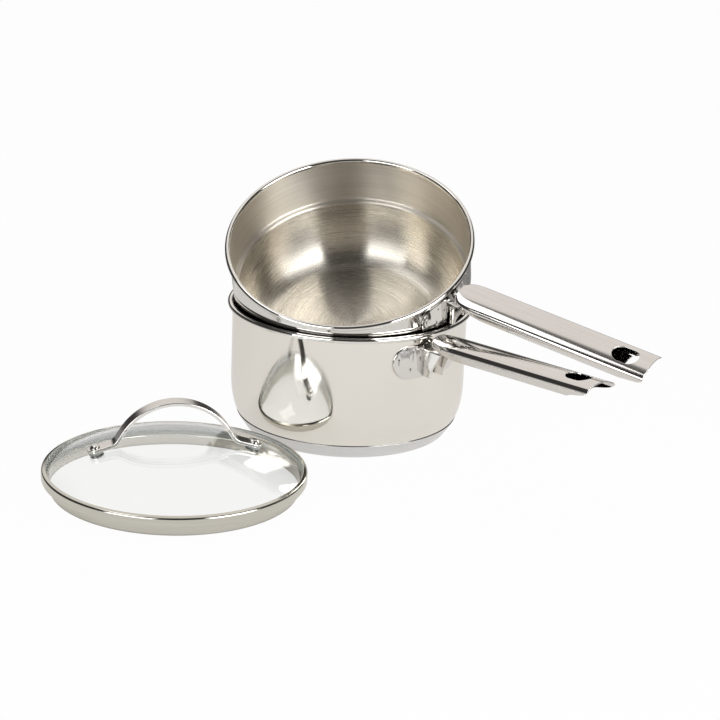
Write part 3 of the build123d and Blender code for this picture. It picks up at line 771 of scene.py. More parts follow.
@dataclass
class Blank:
    """Flat blank of sheet that is bent to shape by a mapping, its cut edges rounded over.

    The outline runs with the metal on its left, and so do the holes.
    """

    outline: list[Pair]
    holes: list[list[Pair]]
    thickness: float
    edge_round: float
    grid: Pair
    edge_step: float = 1.0
    round_steps: int = 3

    def build(self, name: str, place: Place3, matrix: Matrix, face: bpy.types.Material,
              edge: bpy.types.Material) -> bpy.types.Object:
        """Bend the blank and close it into a solid sheet.

        Args:
            name: name of the piece.
            place: point of the sheet's middle surface for two flat coordinates, in millimetres.
            matrix: where the piece stands, in metres.
            face: material of the sheet's two faces.
            edge: material of its rounded edges.

        Returns:
            The piece.
        """
        loops = [inset(resampled(loop, self.edge_step), self.edge_round) for loop in [self.outline] + self.holes]
        flat, triangles, rims = self.triangulate(loops)
        middle = [place(*p) for p in flat]
        normals = [self.normal_at(place, *p) for p in flat]
        half = self.thickness / 2
        count = len(flat)
        points = [m + n * half for m, n in zip(middle, normals)] + [m - n * half for m, n in zip(middle, normals)]
        facing = list(normals) + [-n for n in normals]
        faces = [tuple(t) for t in triangles] + [tuple(count + i for i in reversed(t)) for t in triangles]
        spots = [flat[i] for i in range(count)] * 2
        edge_from = len(faces)
        for rim in rims:
            self.round_over(rim, flat, middle, normals, place, points, facing, faces, spots)
        mesh = bpy.data.meshes.new(name)
        mesh.from_pydata([p * MM for p in points], [], faces)
        mesh.materials.append(face)
        mesh.materials.append(edge)
        mesh.polygons.foreach_set("material_index", [0] * edge_from + [1] * (len(faces) - edge_from))
        layer = mesh.uv_layers.new(name=UV_NAME)
        for loop in mesh.loops:
            spot = spots[loop.vertex_index]
            layer.data[loop.index].uv = (spot[0] * MM, spot[1] * MM)
        mesh.transform(matrix)
        turn = matrix.to_3x3()
        set_normals(mesh, [(turn @ n).normalized() for n in facing])
        return add_object(name, mesh)

    def triangulate(self, loops: list[list[Pair]]) -> tuple[list[Pair], list[list[int]], list[list[int]]]:
        """Fill the flat outline with triangles.

        Args:
            loops: the outline and the holes, already inset.

        Returns:
            The flat points, the triangles, and the point numbers of each rim.
        """
        corners = np.array(loops[0])
        low, high = corners.min(axis=0), corners.max(axis=0)
        counts = [max(2, ceil((high[k] - low[k]) / self.grid[k])) for k in range(2)]
        xs = np.linspace(low[0], high[0], counts[0] + 1)[1:-1]
        ys = np.linspace(low[1], high[1], counts[1] + 1)[1:-1]
        grid = np.array([(x, y) for x in xs for y in ys])
        keep = inside_loop(grid, inset(loops[0], 0.45 * self.edge_step))
        for hole in loops[1:]:
            keep &= ~inside_loop(grid, list(reversed(inset(hole, 0.45 * self.edge_step))))
        points = [p for loop in loops for p in loop]
        edges = []
        start = 0
        for loop in loops:
            edges += [(start + k, start + (k + 1) % len(loop)) for k in range(len(loop))]
            start += len(loop)
        points += [tuple(p) for p in grid[keep]]
        found, _, faces, origins, _, _ = delaunay_2d_cdt([Vector(p) for p in points], edges, [], 0, 1e-6)
        number = {}
        for index, sources in enumerate(origins):
            for source in sources:
                number[source] = index
        flat = [(p[0], p[1]) for p in found]
        centres = np.array([[sum(flat[i][k] for i in f) / len(f) for k in range(2)] for f in faces])
        good = inside_loop(centres, loops[0])
        for hole in loops[1:]:
            good &= ~inside_loop(centres, hole)
        triangles = []
        for f, ok in zip(faces, good):
            if ok:
                a, b, c = (flat[i] for i in f[:3])
                area = (b[0] - a[0]) * (c[1] - a[1]) - (b[1] - a[1]) * (c[0] - a[0])
                triangles.append(list(f) if area > 0 else list(reversed(f)))
        rims = []
        start = 0
        for loop in loops:
            rims.append([number[start + k] for k in range(len(loop))])
            start += len(loop)
        return flat, triangles, rims

    @staticmethod
    def normal_at(place: Place3, a: float, b: float, reach: float = 0.05) -> Vector:
        """Normal of the bent middle surface."""
        along = place(a + reach, b) - place(a - reach, b)
        across = place(a, b + reach) - place(a, b - reach)
        return along.cross(across).normalized()

    def round_over(self, rim: list[int], flat: list[Pair], middle: list[Vector], normals: list[Vector], place: Place3,
                   points: list[Vector], facing: list[Vector], faces: list[tuple], spots: list[Pair]) -> None:
        """Join the two faces along one rim with a rounded edge.

        Args:
            rim: point numbers of the rim, metal on the left.
            flat: flat points.
            middle: bent points of the middle surface.
            normals: normals there.
            place: the mapping.
            points: points of the piece, which grow.
            facing: their normals, which grow.
            faces: faces of the piece, which grow.
            spots: flat coordinates of each point, which grow.
        """
        count = len(flat)
        turn = self.edge_round
        half = self.thickness / 2
        shelf = max(0.0, half - turn)
        rows = []
        for k, number in enumerate(rim):
            before, after = flat[rim[k - 1]], flat[rim[(k + 1) % len(rim)]]
            heading = direction(before, after)
            out = (heading[1], -heading[0])
            here = flat[number]
            ahead = place(here[0] + out[0] * 0.05, here[1] + out[1] * 0.05) - middle[number]
            normal = normals[number]
            ahead = (ahead - normal * ahead.dot(normal)).normalized()
            row = [number]
            for side in (1, -1):
                steps = range(1, self.round_steps + 1) if side == 1 else range(0, self.round_steps)
                for step in steps:
                    angle = pi / 2 * (1 - step / self.round_steps) if side == 1 else -pi / 2 * step / self.round_steps
                    facing.append((ahead * cos(angle) + normal * sin(angle)).normalized())
                    outward = normal * (side * shelf + turn * sin(angle))
                    points.append(middle[number] + outward + ahead * turn * cos(angle))
                    spots.append(here)
                    row.append(len(points) - 1)
            row.append(count + number)
            rows.append(row)
        for row, after in zip(rows, rows[1:] + rows[:1]):
            for k in range(len(row) - 1):
                faces.append((row[k], row[k + 1], after[k + 1], after[k]))


# Repeated fasteners and marks


class RepeatTree(Graph):
    """Geometry nodes that set one small shape on every point, standing along that point's own direction."""

    def __init__(self) -> None:
        """Build the tree."""
        super().__init__(bpy.data.node_groups.new("repeat_on_points", "GeometryNodeTree"))
        face = self.tree.interface
        face.new_socket(name="Points", in_out="INPUT", socket_type="NodeSocketGeometry")
        face.new_socket(name="Shape", in_out="INPUT", socket_type="NodeSocketObject")
        face.new_socket(name="Spin Seed", in_out="INPUT", socket_type="NodeSocketInt")
        face.new_socket(name="Finish", in_out="INPUT", socket_type="NodeSocketMaterial")
        face.new_socket(name="Set", in_out="OUTPUT", socket_type="NodeSocketGeometry")
        start = self.node("NodeGroupInput").outputs
        points = self.node("GeometryNodeMeshToPoints")
        self.feed(points.inputs["Mesh"], start["Points"])
        stand = self.node("GeometryNodeInputNamedAttribute", data_type="FLOAT_VECTOR")
        stand.inputs["Name"].default_value = "stand"
        spin = self.node("FunctionNodeRandomValue", data_type="FLOAT")
        self.feed(spin.inputs["Seed"], start["Spin Seed"])
        lean = self.node("FunctionNodeAlignRotationToVector", axis="Z")
        around = self.node("FunctionNodeAxisAngleToRotation")
        self.feed(around.inputs["Axis"], (0.0, 0.0, 1.0))
        self.feed(around.inputs["Angle"], self.math("MULTIPLY", spin.outputs["Value"], 2 * pi))
        self.feed(lean.inputs["Rotation"], around.outputs[0])
        self.feed(lean.inputs["Vector"], stand.outputs[0])
        shape = self.node("GeometryNodeObjectInfo", transform_space="ORIGINAL")
        self.feed(shape.inputs["Object"], start["Shape"])
        placed_set = self.node("GeometryNodeInstanceOnPoints")
        self.feed(placed_set.inputs["Points"], points.outputs[0])
        self.feed(placed_set.inputs["Instance"], shape.outputs["Geometry"])
        self.feed(placed_set.inputs["Rotation"], lean.outputs[0])
        whole = self.node("GeometryNodeRealizeInstances")
        self.feed(whole.inputs[0], placed_set.outputs[0])
        dressed = self.node("GeometryNodeSetMaterial")
        self.feed(dressed.inputs["Geometry"], whole.outputs[0])
        self.feed(dressed.inputs["Material"], start["Finish"])
        self.feed(self.node("NodeGroupOutput").inputs[0], dressed.outputs[0])


@dataclass
class Repeater:
    """Sets copies of a turned shape at several places."""

    lathe: Lathe
    tree: RepeatTree = field(default_factory=RepeatTree)
    segments: int = 48

    def repeat(self, name: str, section: list[Sample], places: list[Matrix],
               finish: bpy.types.Material, seed: int = 1) -> bpy.types.Object:
        """Turn one shape and set it at each place.

        Args:
            name: name of the piece.
            section: section of the shape.
            places: where each copy stands, in metres.
            finish: its material.
            seed: seed for the turn of each copy about its own axis.

        Returns:
            One piece that holds all copies.
        """
        shape = self.lathe.turn(name + "_shape", section, {Zone.OUTSIDE: finish}, segments=self.segments)
        base = bpy.data.meshes.new(name + "_points")
        base.from_pydata([p.translation for p in places], [], [])
        stands = [c for p in places for c in (p.to_3x3() @ Vector((0, 0, 1)))]
        base.attributes.new("stand", "FLOAT_VECTOR", "POINT").data.foreach_set("vector", stands)
        mesh = run_tree(name + "_carrier", base, self.tree.tree, {"Shape": shape, "Spin Seed": seed, "Finish": finish})
        bpy.data.objects.remove(shape)
        return add_object(name, mesh)


def closed_section(corners: list[Pair], rounds: list[float], step_angle: float = 15.0) -> list[Sample]:
    """Section of a solid turned piece with rounded corners.

    Args:
        corners: outline from its start on the axis, or the same point twice for a ring, metal on the left.
        rounds: radius at each inner corner.
        step_angle: degrees between the points of a round.

    Returns:
        The samples, with outward normals.
    """
    line = SheetLine(corners, rounds, 0.0, step_angle=step_angle)
    samples = []
    for point, heading, _ in line.centre_run():
        samples.append(Sample(point, (heading[1], -heading[0]), Zone.OUTSIDE))
    return samples


# Pans


def quarter_curve(centre: Pair, width: float, height: float, angles: tuple, share: float = 0.98) -> tuple:
    """Corners and bend radii of a line that wraps a quarter ellipse from its side to its foot."""
    touches = [(centre[0] + width * cos(radians(a)), centre[1] - height * sin(radians(a))) for a in angles]
    corners = []
    radii = []
    for index in range(len(angles) - 1):
        middle = radians((angles[index] + angles[index + 1]) / 2)
        reach = 1 / cos(radians((angles[index + 1] - angles[index]) / 2))
        corner = (centre[0] + width * cos(middle) * reach, centre[1] - height * sin(middle) * reach)
        first = direction(touches[index], corner)
        second = direction(corner, touches[index + 1])
        turn = abs(acos(first[0] * second[0] + first[1] * second[1]))
        before = hypot(corner[0] - touches[index][0], corner[1] - touches[index][1])
        after = hypot(corner[0] - touches[index + 1][0], corner[1] - touches[index + 1][1])
        corners.append(corner)
        radii.append(share * min(before, after) / tan(turn / 2))
    return corners, radii


@dataclass(frozen=True)
class RolledLip:
    """Lip rolled outwards and under at the top of a pan's wall."""

    wall_radius: float
    top: float
    roll_radius: float
    sheet: float
    turn: float = 240.0

    @property
    def reach(self) -> float:
        """Outside radius of the lip."""
        return self.wall_radius + 2 * self.roll_radius - self.sheet

    def line(self) -> tuple[list[Pair], list[float]]:
        """Corners and radii from the lip's free edge to the wall."""
        middle_radius = self.roll_radius - self.sheet / 2
        inner = self.wall_radius - self.sheet / 2
        outer = inner + 2 * middle_radius
        crown = self.top - self.sheet / 2
        end_angle = radians(self.turn - 180)
        reach = middle_radius * tan(end_angle / 2)
        side_corner = (outer, crown - middle_radius - reach)
        free = shifted(side_corner, (-sin(end_angle), -cos(end_angle)), reach)
        return [free, side_corner, (outer, crown), (inner, crown)], [middle_radius * 0.98] * 3


@dataclass
class LowerPan:
    """The saucepan that stands on the floor: pan, heat disc, base cap and arm."""

    lathe: Lathe
    materials: Materials
    wall_radius: float = 89.8
    height: float = 99.3
    sheet: float = 0.7
    lip_roll: float = 2.2
    foot_top: float = 38.0
    foot_width: float = 11.0
    floor_height: float = 7.2
    cap_seam_height: float = 11.4
    cap_seam_gap: float = 0.3
    cap_flare: float = 7.6
    cap_sheet: float = 0.45
    cap_corner: float = 3.0
    crest_drop: float = 0.86
    standoff: float = 11.0
    body: str = "lower_pan"

    def lip(self) -> RolledLip:
        """The pan's rolled lip."""
        return RolledLip(self.wall_radius, self.height, self.lip_roll, self.sheet)

    def shell(self) -> bpy.types.Object:
        """The drawn pan."""
        half = self.sheet / 2
        line, radii = self.lip().line()
        centre = (self.wall_radius - self.foot_width, self.foot_top)
        fall = self.foot_top - self.floor_height
        foot, foot_radii = quarter_curve(centre, self.foot_width - half, fall - half, (0, 12, 25, 40, 55, 70, 90))
        path = SheetLine(line + foot + [(0, self.floor_height + half)], radii + foot_radii, self.sheet, 3, 4.0)
        finishes = {
            Zone.OUTSIDE: self.materials.pan_polish,
            Zone.LIP: self.materials.lip_polish,
            Zone.INSIDE: self.materials.pan_inside,
        }
        return self.lathe.turn("saucepan_shell", path.section(), finishes)

    def seam_radius(self) -> float:
        """Outside radius of the cap's upper edge."""
        share = (self.foot_top - self.cap_seam_height) / (self.foot_top - self.floor_height)
        wall = self.wall_radius - self.foot_width * (1 - sqrt(1 - share**2))
        return wall + self.cap_sheet + self.cap_seam_gap

    def cap(self) -> bpy.types.Object:
        """The shallow dish that closes the base."""
        half = self.cap_sheet / 2
        seam = (self.seam_radius(), self.cap_seam_height)
        base_radius = seam[0] - self.cap_flare
        slope = direction((base_radius, 0), seam)
        corner = base_radius + half * slope[0] / slope[1] - half / slope[1]
        path = SheetLine([shifted(seam, left_of(slope), half), (corner, half), (0, half)], [self.cap_corner],
                         self.cap_sheet)
        return self.lathe.turn("saucepan_base_cap", path.section(), {Zone.OUTSIDE: self.materials.cap_turned})

    def build(self) -> None:
        """Make and seat every piece of the saucepan."""
        shell = self.shell()
        keep(shell, self.body, "polished_steel", "lower_pan_shell")
        keep(self.cap(), self.body, "base_steel", "base_cap")
        dress(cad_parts["base_core_disc"], self.materials.aluminium)
        arm = Arm(self.materials, self.wall_radius, self.standoff)
        arm.build("saucepan", placed(0, 0, self.height - self.crest_drop), self.body, "lower_bracket", "lower_handle")


@dataclass
class Insert:
    """The upper pan, leaning tilted in the saucepan's mouth."""

    lathe: Lathe
    materials: Materials
    wall_radius: float = 91.3
    sheet: float = 0.7
    lip_roll: float = 1.9
    step_depth: float = 41.0
    lower_radius: float = 87.3
    step_round: float = 2.15
    step_hollow: float = 1.95
    curve_start: float = 50.0
    floor_radius: float = 60.5
    depth: float = 90.7
    lean: float = 27.14
    lean_direction: float = -51.18
    spin: float = 64.31
    shift: float = 13.98
    shift_direction: float = -51.1
    crest_rise: float = 0.98
    standoff: float = 9.5
    body: str = "insert"

    def lip(self) -> RolledLip:
        """The insert's rolled lip."""
        return RolledLip(self.wall_radius, 0.0, self.lip_roll, self.sheet)

    def place(self) -> Matrix:
        """Where the insert stands: its rim's highest point is the top of its node's box."""
        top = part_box("insert_shell")[1][2] / MM
        ring = self.lip().reach - self.lip_roll
        lean = radians(self.lean)
        height = top - ring * sin(lean) - self.lip_roll + self.lip_roll * cos(lean)
        turn = radians(self.shift_direction)
        shift = placed(self.shift * cos(turn), self.shift * sin(turn), height)
        return shift @ turned_by(self.lean_direction, "Z") @ turned_by(self.lean, "Y") @ turned_by(self.spin, "Z")

    def shell(self) -> bpy.types.Object:
        """The drawn bowl with its step."""
        half = self.sheet / 2
        line, radii = self.lip().line()
        ledge = -self.step_depth + half
        step = [(self.wall_radius - half, ledge), (self.lower_radius - half, ledge)]
        width = self.lower_radius - self.floor_radius - half
        height = self.depth - self.curve_start - half
        bowl, bowl_radii = quarter_curve((self.floor_radius, -self.curve_start), width, height, (0, 25, 50, 70, 90))
        corners = line + step + bowl + [(0, -self.depth + half)]
        path = SheetLine(corners, radii + [self.step_round, self.step_hollow] + bowl_radii, self.sheet, 3, 4.0)
        section = path.section()
        finishes = {
            Zone.OUTSIDE: self.materials.insert_outside,
            Zone.LIP: self.materials.lip_polish,
            Zone.INSIDE: TurnedSatin("insert_inside", wall_run=self.wall_run(section)).build(),
        }
        return self.lathe.turn("insert_bowl", section, finishes, self.place())

    def wall_run(self, section: list[Sample]) -> Pair:
        """Where along the section the inside of the upper wall starts and ends, in metres."""
        run, found = 0.0, []
        for before, sample in zip(section, section[1:]):
            run += hypot(sample.point[0] - before.point[0], sample.point[1] - before.point[1]) * MM
            above_step = sample.point[1] > -self.step_depth and sample.point[0] > self.lower_radius
            if sample.zone is Zone.INSIDE and above_step:
                found.append(run)
        return found[0], found[-1]

    def build(self) -> None:
        """Make and seat every piece of the insert."""
        keep(self.shell(), self.body, "satin_steel", "insert_shell")
        arm = Arm(self.materials, self.wall_radius, self.standoff)
        place = self.place() @ placed(0, 0, self.crest_rise)
        arm.build("insert", place, self.body, "insert_bracket", "insert_handle")


# Handle and bracket


@dataclass(frozen=True)
class HandleSection:
    """Half of the handle's section: crown, corner, leaning side, corner and bottom."""

    half_width: float
    height: float
    crown_drop: float
    round_share: float
    inset: float
    side_lean: float = 2.2
    side_foot: float = 1.0
    top_round: float = 4.0
    bottom_round: float = 3.2

    def pieces(self) -> list[tuple]:
        """Arcs and the line from the middle of the crown to the middle of the bottom.

        Returns:
            For an arc its centre, radius, first and last angle, and for the line its two ends.
        """
        wide = self.half_width - self.inset
        foot = self.half_width - self.side_lean - self.inset
        top = -self.inset
        edge = -self.crown_drop - self.inset * self.side_foot / 2
        base = -self.height + self.inset + self.side_foot
        bottom = -self.height + self.inset
        crown_sag = top - edge
        crown_radius = (wide**2 + crown_sag**2) / (2 * crown_sag)
        crown = (0.0, top - crown_radius)
        belly_sag = base - bottom
        belly_radius = (foot**2 + belly_sag**2) / (2 * belly_sag)
        belly = (0.0, bottom + belly_radius)
        side = direction((wide, edge), (foot, base))
        outward = left_of(side)
        upper_round = self.top_round * self.round_share - self.inset
        lower_round = self.bottom_round * self.round_share - self.inset
        upper = self.rounded((wide, edge), side, upper_round, crown, crown_radius, -1)
        lower = self.rounded((foot, base), side, lower_round, belly, belly_radius, 1)
        side_angle = atan2(outward[1], outward[0])
        crown_end = atan2(upper[1] - crown[1], upper[0] - crown[0])
        belly_start = atan2(lower[1] - belly[1], lower[0] - belly[0])
        return [
            (crown, crown_radius, pi / 2, crown_end),
            (upper, upper_round, crown_end, side_angle),
            (shifted(upper, outward, upper_round), shifted(lower, outward, lower_round)),
            (lower, lower_round, side_angle, belly_start),
            (belly, belly_radius, belly_start, -pi / 2),
        ]

    @staticmethod
    def rounded(corner: Pair, side: Pair, radius: float, centre: Pair, big: float, way: int) -> Pair:
        """Centre of a round that touches the side line and the inside of a big arc."""
        inward = (side[1], -side[0])
        reach = shifted(corner, inward, radius)
        gap = (reach[0] - centre[0], reach[1] - centre[1])
        along = gap[0] * side[0] + gap[1] * side[1]
        rest = gap[0] ** 2 + gap[1] ** 2 - (big - radius) ** 2
        return shifted(reach, side, -along + way * sqrt(max(0.0, along**2 - rest)))

    def lengths(self) -> list[float]:
        """Length of each piece."""
        found = []
        for piece in self.pieces():
            if len(piece) == 4:
                found.append(piece[1] * abs(piece[3] - piece[2]))
            else:
                found.append(hypot(piece[1][0] - piece[0][0], piece[1][1] - piece[0][1]))
        return found

    def point(self, number: int, share: float) -> Pair:
        """Point at a share of one piece."""
        piece = self.pieces()[number]
        if len(piece) == 4:
            centre, radius, first, last = piece
            angle = first + (last - first) * share
            return (centre[0] + radius * cos(angle), centre[1] + radius * sin(angle))
        start, end = piece
        return (start[0] + (end[0] - start[0]) * share, start[1] + (end[1] - start[1]) * share)


def smooth_value(xs: tuple, ys: tuple, x: float) -> float:
    """Smooth curve through a few points, level past the last one."""
    if x >= xs[-1]:
        return ys[-1]
    slopes = [(ys[k + 1] - ys[k]) / (xs[k + 1] - xs[k]) for k in range(len(xs) - 1)]
    tangents = [slopes[0]] + [0.0 if a * b <= 0 else 2 * a * b / (a + b) for a, b in zip(slopes, slopes[1:])] + [0.0]
    k = max(0, min(len(xs) - 2, next((i - 1 for i, v in enumerate(xs) if v > x), len(xs) - 2)))
    span = xs[k + 1] - xs[k]
    t = (x - xs[k]) / span
    return (
        (2 * t**3 - 3 * t**2 + 1) * ys[k]
        + (t**3 - 2 * t**2 + t) * span * tangents[k]
        + (3 * t**2 - 2 * t**3) * ys[k + 1]
        + (t**3 - t**2) * span * tangents[k + 1]
    )


@dataclass
class HollowHandle:
    """Handle rolled from sheet: a tapering neck, a straight grip, a hanging slot and a scooped end."""

    materials: Materials
    start: float = 10.8
    length: float = 162.3
    half_width: float = 14.87
    height: float = 13.6
    crown_drop: float = 4.3
    sheet: float = 0.9
    neck_length: float = 27.2
    neck_at: tuple = (0.0, 0.088, 0.246, 0.559, 1.0)
    neck_widths: tuple = (0.578, 0.8, 0.935, 1.0, 1.0)
    neck_heights: tuple = (0.632, 0.662, 0.721, 0.853, 1.0)
    neck_drops: tuple = (0.605, 0.837, 0.953, 1.0, 1.0)
    notch_length: float = 14.2
    notch_half_width: float = 6.95
    slot_from_end: float = 21.4
    slot_length: float = 20.9
    slot_width: float = 14.6
    scoop_length: float = 27.0
    scoop_back: tuple = (-0.11, 0.044, 0.156, 0.356, 0.63, 0.833, 1.0)
    scoop_drop: tuple = (0.25, 0.485, 0.61, 0.7, 0.794, 0.926, 1.118)
    edge_round: float = 0.22
    seam_gap: float = 0.06

    def section_at(self, along: float) -> HandleSection:
        """Section at a distance from the handle's start."""
        share = max(0.0, along / self.neck_length)
        height = self.height * smooth_value(self.neck_at, self.neck_heights, share)
        return HandleSection(
            self.half_width * smooth_value(self.neck_at, self.neck_widths, share),
            height,
            self.crown_drop * smooth_value(self.neck_at, self.neck_drops, share),
            height / self.height,
            self.sheet / 2,
        )

    def breaks(self) -> list[float]:
        """Girth of the full section at the end of each piece, from the crown's middle."""
        total = [0.0]
        for length in self.section_at(self.length).lengths():
            total.append(total[-1] + length)
        return total

    def across(self, along: float, girth: float) -> Pair:
        """Point of the section, across and up, at a distance and a girth."""
        breaks = self.breaks_kept
        here = min(abs(girth), breaks[-1])
        number = next((k for k in range(5) if here <= breaks[k + 1]), 4)
        share = (here - breaks[number]) / (breaks[number + 1] - breaks[number])
        point = self.section_at(along).point(number, share)
        return (point[0] if girth >= 0 else -point[0], point[1])

    def place(self, along: float, girth: float) -> Vector:
        """Point of the bent sheet's middle surface."""
        y, z = self.across(along, girth)
        return Vector((self.start + along, y, z))

    def girth_where(self, along: float, done: Callable[[Pair], bool]) -> float:
        """Smallest girth whose point satisfies a test, found by halving."""
        low, high = 0.0, self.breaks_kept[-1]
        for _ in range(30):
            middle = (low + high) / 2
            if done(self.across(along, middle)):
                high = middle
            else:
                low = middle
        return high

    def notch_girth(self, along: float) -> float:
        """Girth at which the bottom meets the notch."""
        corner = self.breaks_kept[3]
        low, high = corner, self.breaks_kept[-1]
        for _ in range(30):
            middle = (low + high) / 2
            if self.across(along, middle)[0] < self.notch_half_width:
                high = middle
            else:
                low = middle
        return high

    def scoop_girth(self, along: float) -> float:
        """Girth at which the side meets the scooped end."""
        back = (self.length - along) / self.scoop_length
        share = float(np.interp(back, self.scoop_back, self.scoop_drop))
        return self.girth_where(along, lambda point: point[1] < -self.height * share + self.sheet / 2)

    def outline(self) -> list[Pair]:
        """Flat outline of the blank, metal on the left."""
        half = self.breaks_kept[-1] - self.seam_gap
        notch = [(self.notch_length * k / 6, self.notch_girth(self.notch_length * k / 6)) for k in range(7)]
        scoop = []
        for k in range(25):
            along = self.length - self.scoop_length * (1 - k / 24)
            girth = self.scoop_girth(along)
            if girth < half:
                scoop.append((along, girth))
        side = notch + [(self.notch_length, half), (scoop[0][0] - 0.3, half)] + scoop
        lower = [(a, -g) for a, g in side]
        return lower + list(reversed(side))

    def slot(self) -> list[Pair]:
        """Flat outline of the hanging slot, metal on the left."""
        crown = self.section_at(self.length).pieces()[0][1]
        centre = self.length - self.slot_from_end
        radius = self.slot_width / 2
        straight = self.slot_length / 2 - radius
        loop = []
        for side in (1, -1):
            for k in range(25):
                angle = -pi / 2 + pi * k / 24 if side == 1 else pi / 2 + pi * k / 24
                x = centre + side * straight + radius * cos(angle)
                loop.append((x, crown * asin(radius * sin(angle) / crown)))
        return list(reversed(loop))

    def build(self, name: str, matrix: Matrix) -> bpy.types.Object:
        """Cut, bend and place the handle."""
        self.breaks_kept = self.breaks()
        blank = Blank(self.outline(), [self.slot()], self.sheet, self.edge_round, (1.8, 0.9), 0.9)
        return blank.build(name, self.place, matrix, self.materials.handle_grain, self.materials.cut_edge)


@dataclass
class Arm:
    """A pan's stamped bracket and hollow handle."""

    materials: Materials
    wall_radius: float
    standoff: float
    rise: float = 3.4
    flange_half_length: float = 31.5
    flange_top_drop: float = 8.5
    flange_bottom_drop: float = 33.0
    bracket_sheet: float = 1.2
    wall_gap: float = 0.1
    weld_arcs: tuple = (0.302, 0.508, 0.575, 0.889)
    weld_drops: tuple = (0.4, 0.18, 0.714, 0.38)
    weld_radius: float = 0.78
    weld_depth: float = 0.44

    def build(self, name: str, place: Matrix, body: str, bracket_node: str, handle_node: str) -> None:
        """Make the bracket, its weld marks and the handle.

        Args:
            name: first word of the pieces' names.
            place: frame of the arm at the pan's axis, at the height of the handle's crest.
            body: body that they ride on.
            bracket_node: node of the bracket.
            handle_node: node of the handle.
        """
        handle = HollowHandle(self.materials)
        frame_radius = self.wall_radius + self.standoff - handle.start
        where = place @ placed(frame_radius, 0, 0) @ turned_by(-self.rise, "Y")
        keep(handle.build(name + "_hollow_handle", where), body, "handle_steel", handle_node)
        bracket = softened_copy(name + "_pressed_bracket", bracket_node, 0.18, self.materials.bracket_press)
        keep(bracket, body, "bracket_steel", bracket_node)
        marks = REPEATER.repeat(name + "_weld_marks", self.weld_mark(), self.weld_places(place),
                                self.materials.weld_scorch)
        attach(marks, body)

    def weld_mark(self) -> list[Sample]:
        """Section of one dished weld mark."""
        deep = self.weld_depth
        corners = [(0, -deep), (self.weld_radius, -deep), (self.weld_radius, -0.05 * deep), (0.6, -0.3 * deep),
                   (0.3, -0.7 * deep), (0, -0.75 * deep)]
        return closed_section(corners, [0.02, 0.02, 0.3, 0.3])

    def weld_places(self, place: Matrix) -> list[Matrix]:
        """Where the weld marks sit on the two flanges."""
        radius = self.wall_radius + self.wall_gap + self.bracket_sheet
        tall = self.flange_bottom_drop - self.flange_top_drop
        found = []
        for arc, drop in zip(self.weld_arcs, self.weld_drops):
            for side in (-1, 1):
                turn = degrees(side * self.flange_half_length * arc / radius)
                spot = placed(radius, 0, -self.flange_top_drop - tall * drop)
                found.append(place @ turned_by(turn, "Z") @ spot @ turned_by(90, "Y"))
        return found


def softened_copy(name: str, node: str, edge: float, material: bpy.types.Material) -> bpy.types.Object:
    """Copy of a node's mesh with its cut edges softened.

    Args:
        name: name of the new piece.
        node: node that is copied.
        edge: width of the softened edges, in millimetres.
        material: its material.

    Returns:
        The piece.
    """
    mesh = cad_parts[node].data.copy()
    work = bmesh.new()
    work.from_mesh(mesh)
    bmesh.ops.remove_doubles(work, verts=work.verts, dist=0.00001)
    work.to_mesh(mesh)
    work.free()
    if mesh.attributes.get("custom_normal"):
        mesh.attributes.remove(mesh.attributes["custom_normal"])
    mesh.materials.clear()
    mesh.materials.append(material)
    carrier = bpy.data.objects.new(name + "_carrier", mesh)
    bpy.context.scene.collection.objects.link(carrier)
    bevel = carrier.modifiers.new("soft_edges", "BEVEL")
    bevel.width = edge * MM
    bevel.segments = 2
    bevel.limit_method = "ANGLE"
    bevel.angle_limit = radians(35)
    bevel.use_clamp_overlap = True
    graph = bpy.context.evaluated_depsgraph_get()
    soft = bpy.data.meshes.new_from_object(carrier.evaluated_get(graph), depsgraph=graph)
    bpy.data.objects.remove(carrier)
    bpy.data.meshes.remove(mesh)
    soft.polygons.foreach_set("use_smooth", [True] * len(soft.polygons))
    soft.set_sharp_from_angle(angle=radians(40))
    return add_object(name, soft)


# Lid


@dataclass(frozen=True)
class BentLine:
    """Middle line of lines and arcs that can be asked for a point at any length."""

    corners: list[Pair]
    radii: list[float]

    def parts(self) -> list[tuple]:
        """Length, start, heading and signed curve of each part."""
        found = []
        here = self.corners[0]
        for index, radius in enumerate(self.radii):
            before, corner, after = self.corners[index : index + 3]
            first, second = direction(before, corner), direction(corner, after)
            turn = atan2(first[0] * second[1] - first[1] * second[0], first[0] * second[0] + first[1] * second[1])
            enter = shifted(corner, first, -radius * tan(abs(turn) / 2))
            found.append((hypot(enter[0] - here[0], enter[1] - here[1]), here, first, 0.0))
            found.append((radius * abs(turn), enter, first, (1 if turn > 0 else -1) / radius))
            here = shifted(corner, second, radius * tan(abs(turn) / 2))
        last = self.corners[-1]
        found.append((hypot(last[0] - here[0], last[1] - here[1]), here, direction(self.corners[-2], last), 0.0))
        return found

    def length(self) -> float:
        """Whole length of the line."""
        return sum(part[0] for part in self.parts())

    def at(self, length: float) -> Pair:
        """Point at a length from the start, carried on straight past both ends."""
        parts = self.parts_kept
        for number, (size, start, heading, curve) in enumerate(parts):
            if length <= size or number == len(parts) - 1:
                break
            length -= size
        if curve == 0.0:
            return shifted(start, heading, length)
        turn = curve * length
        centre = shifted(start, left_of(heading), 1 / curve)
        spoke = (start[0] - centre[0], start[1] - centre[1])
        return (
            centre[0] + spoke[0] * cos(turn) - spoke[1] * sin(turn),
            centre[1] + spoke[0] * sin(turn) + spoke[1] * cos(turn),
        )

    @property
    def parts_kept(self) -> list[tuple]:
        """Parts of the line, worked out once."""
        if "kept" not in self.__dict__:
            self.__dict__["kept"] = self.parts()
        return self.__dict__["kept"]


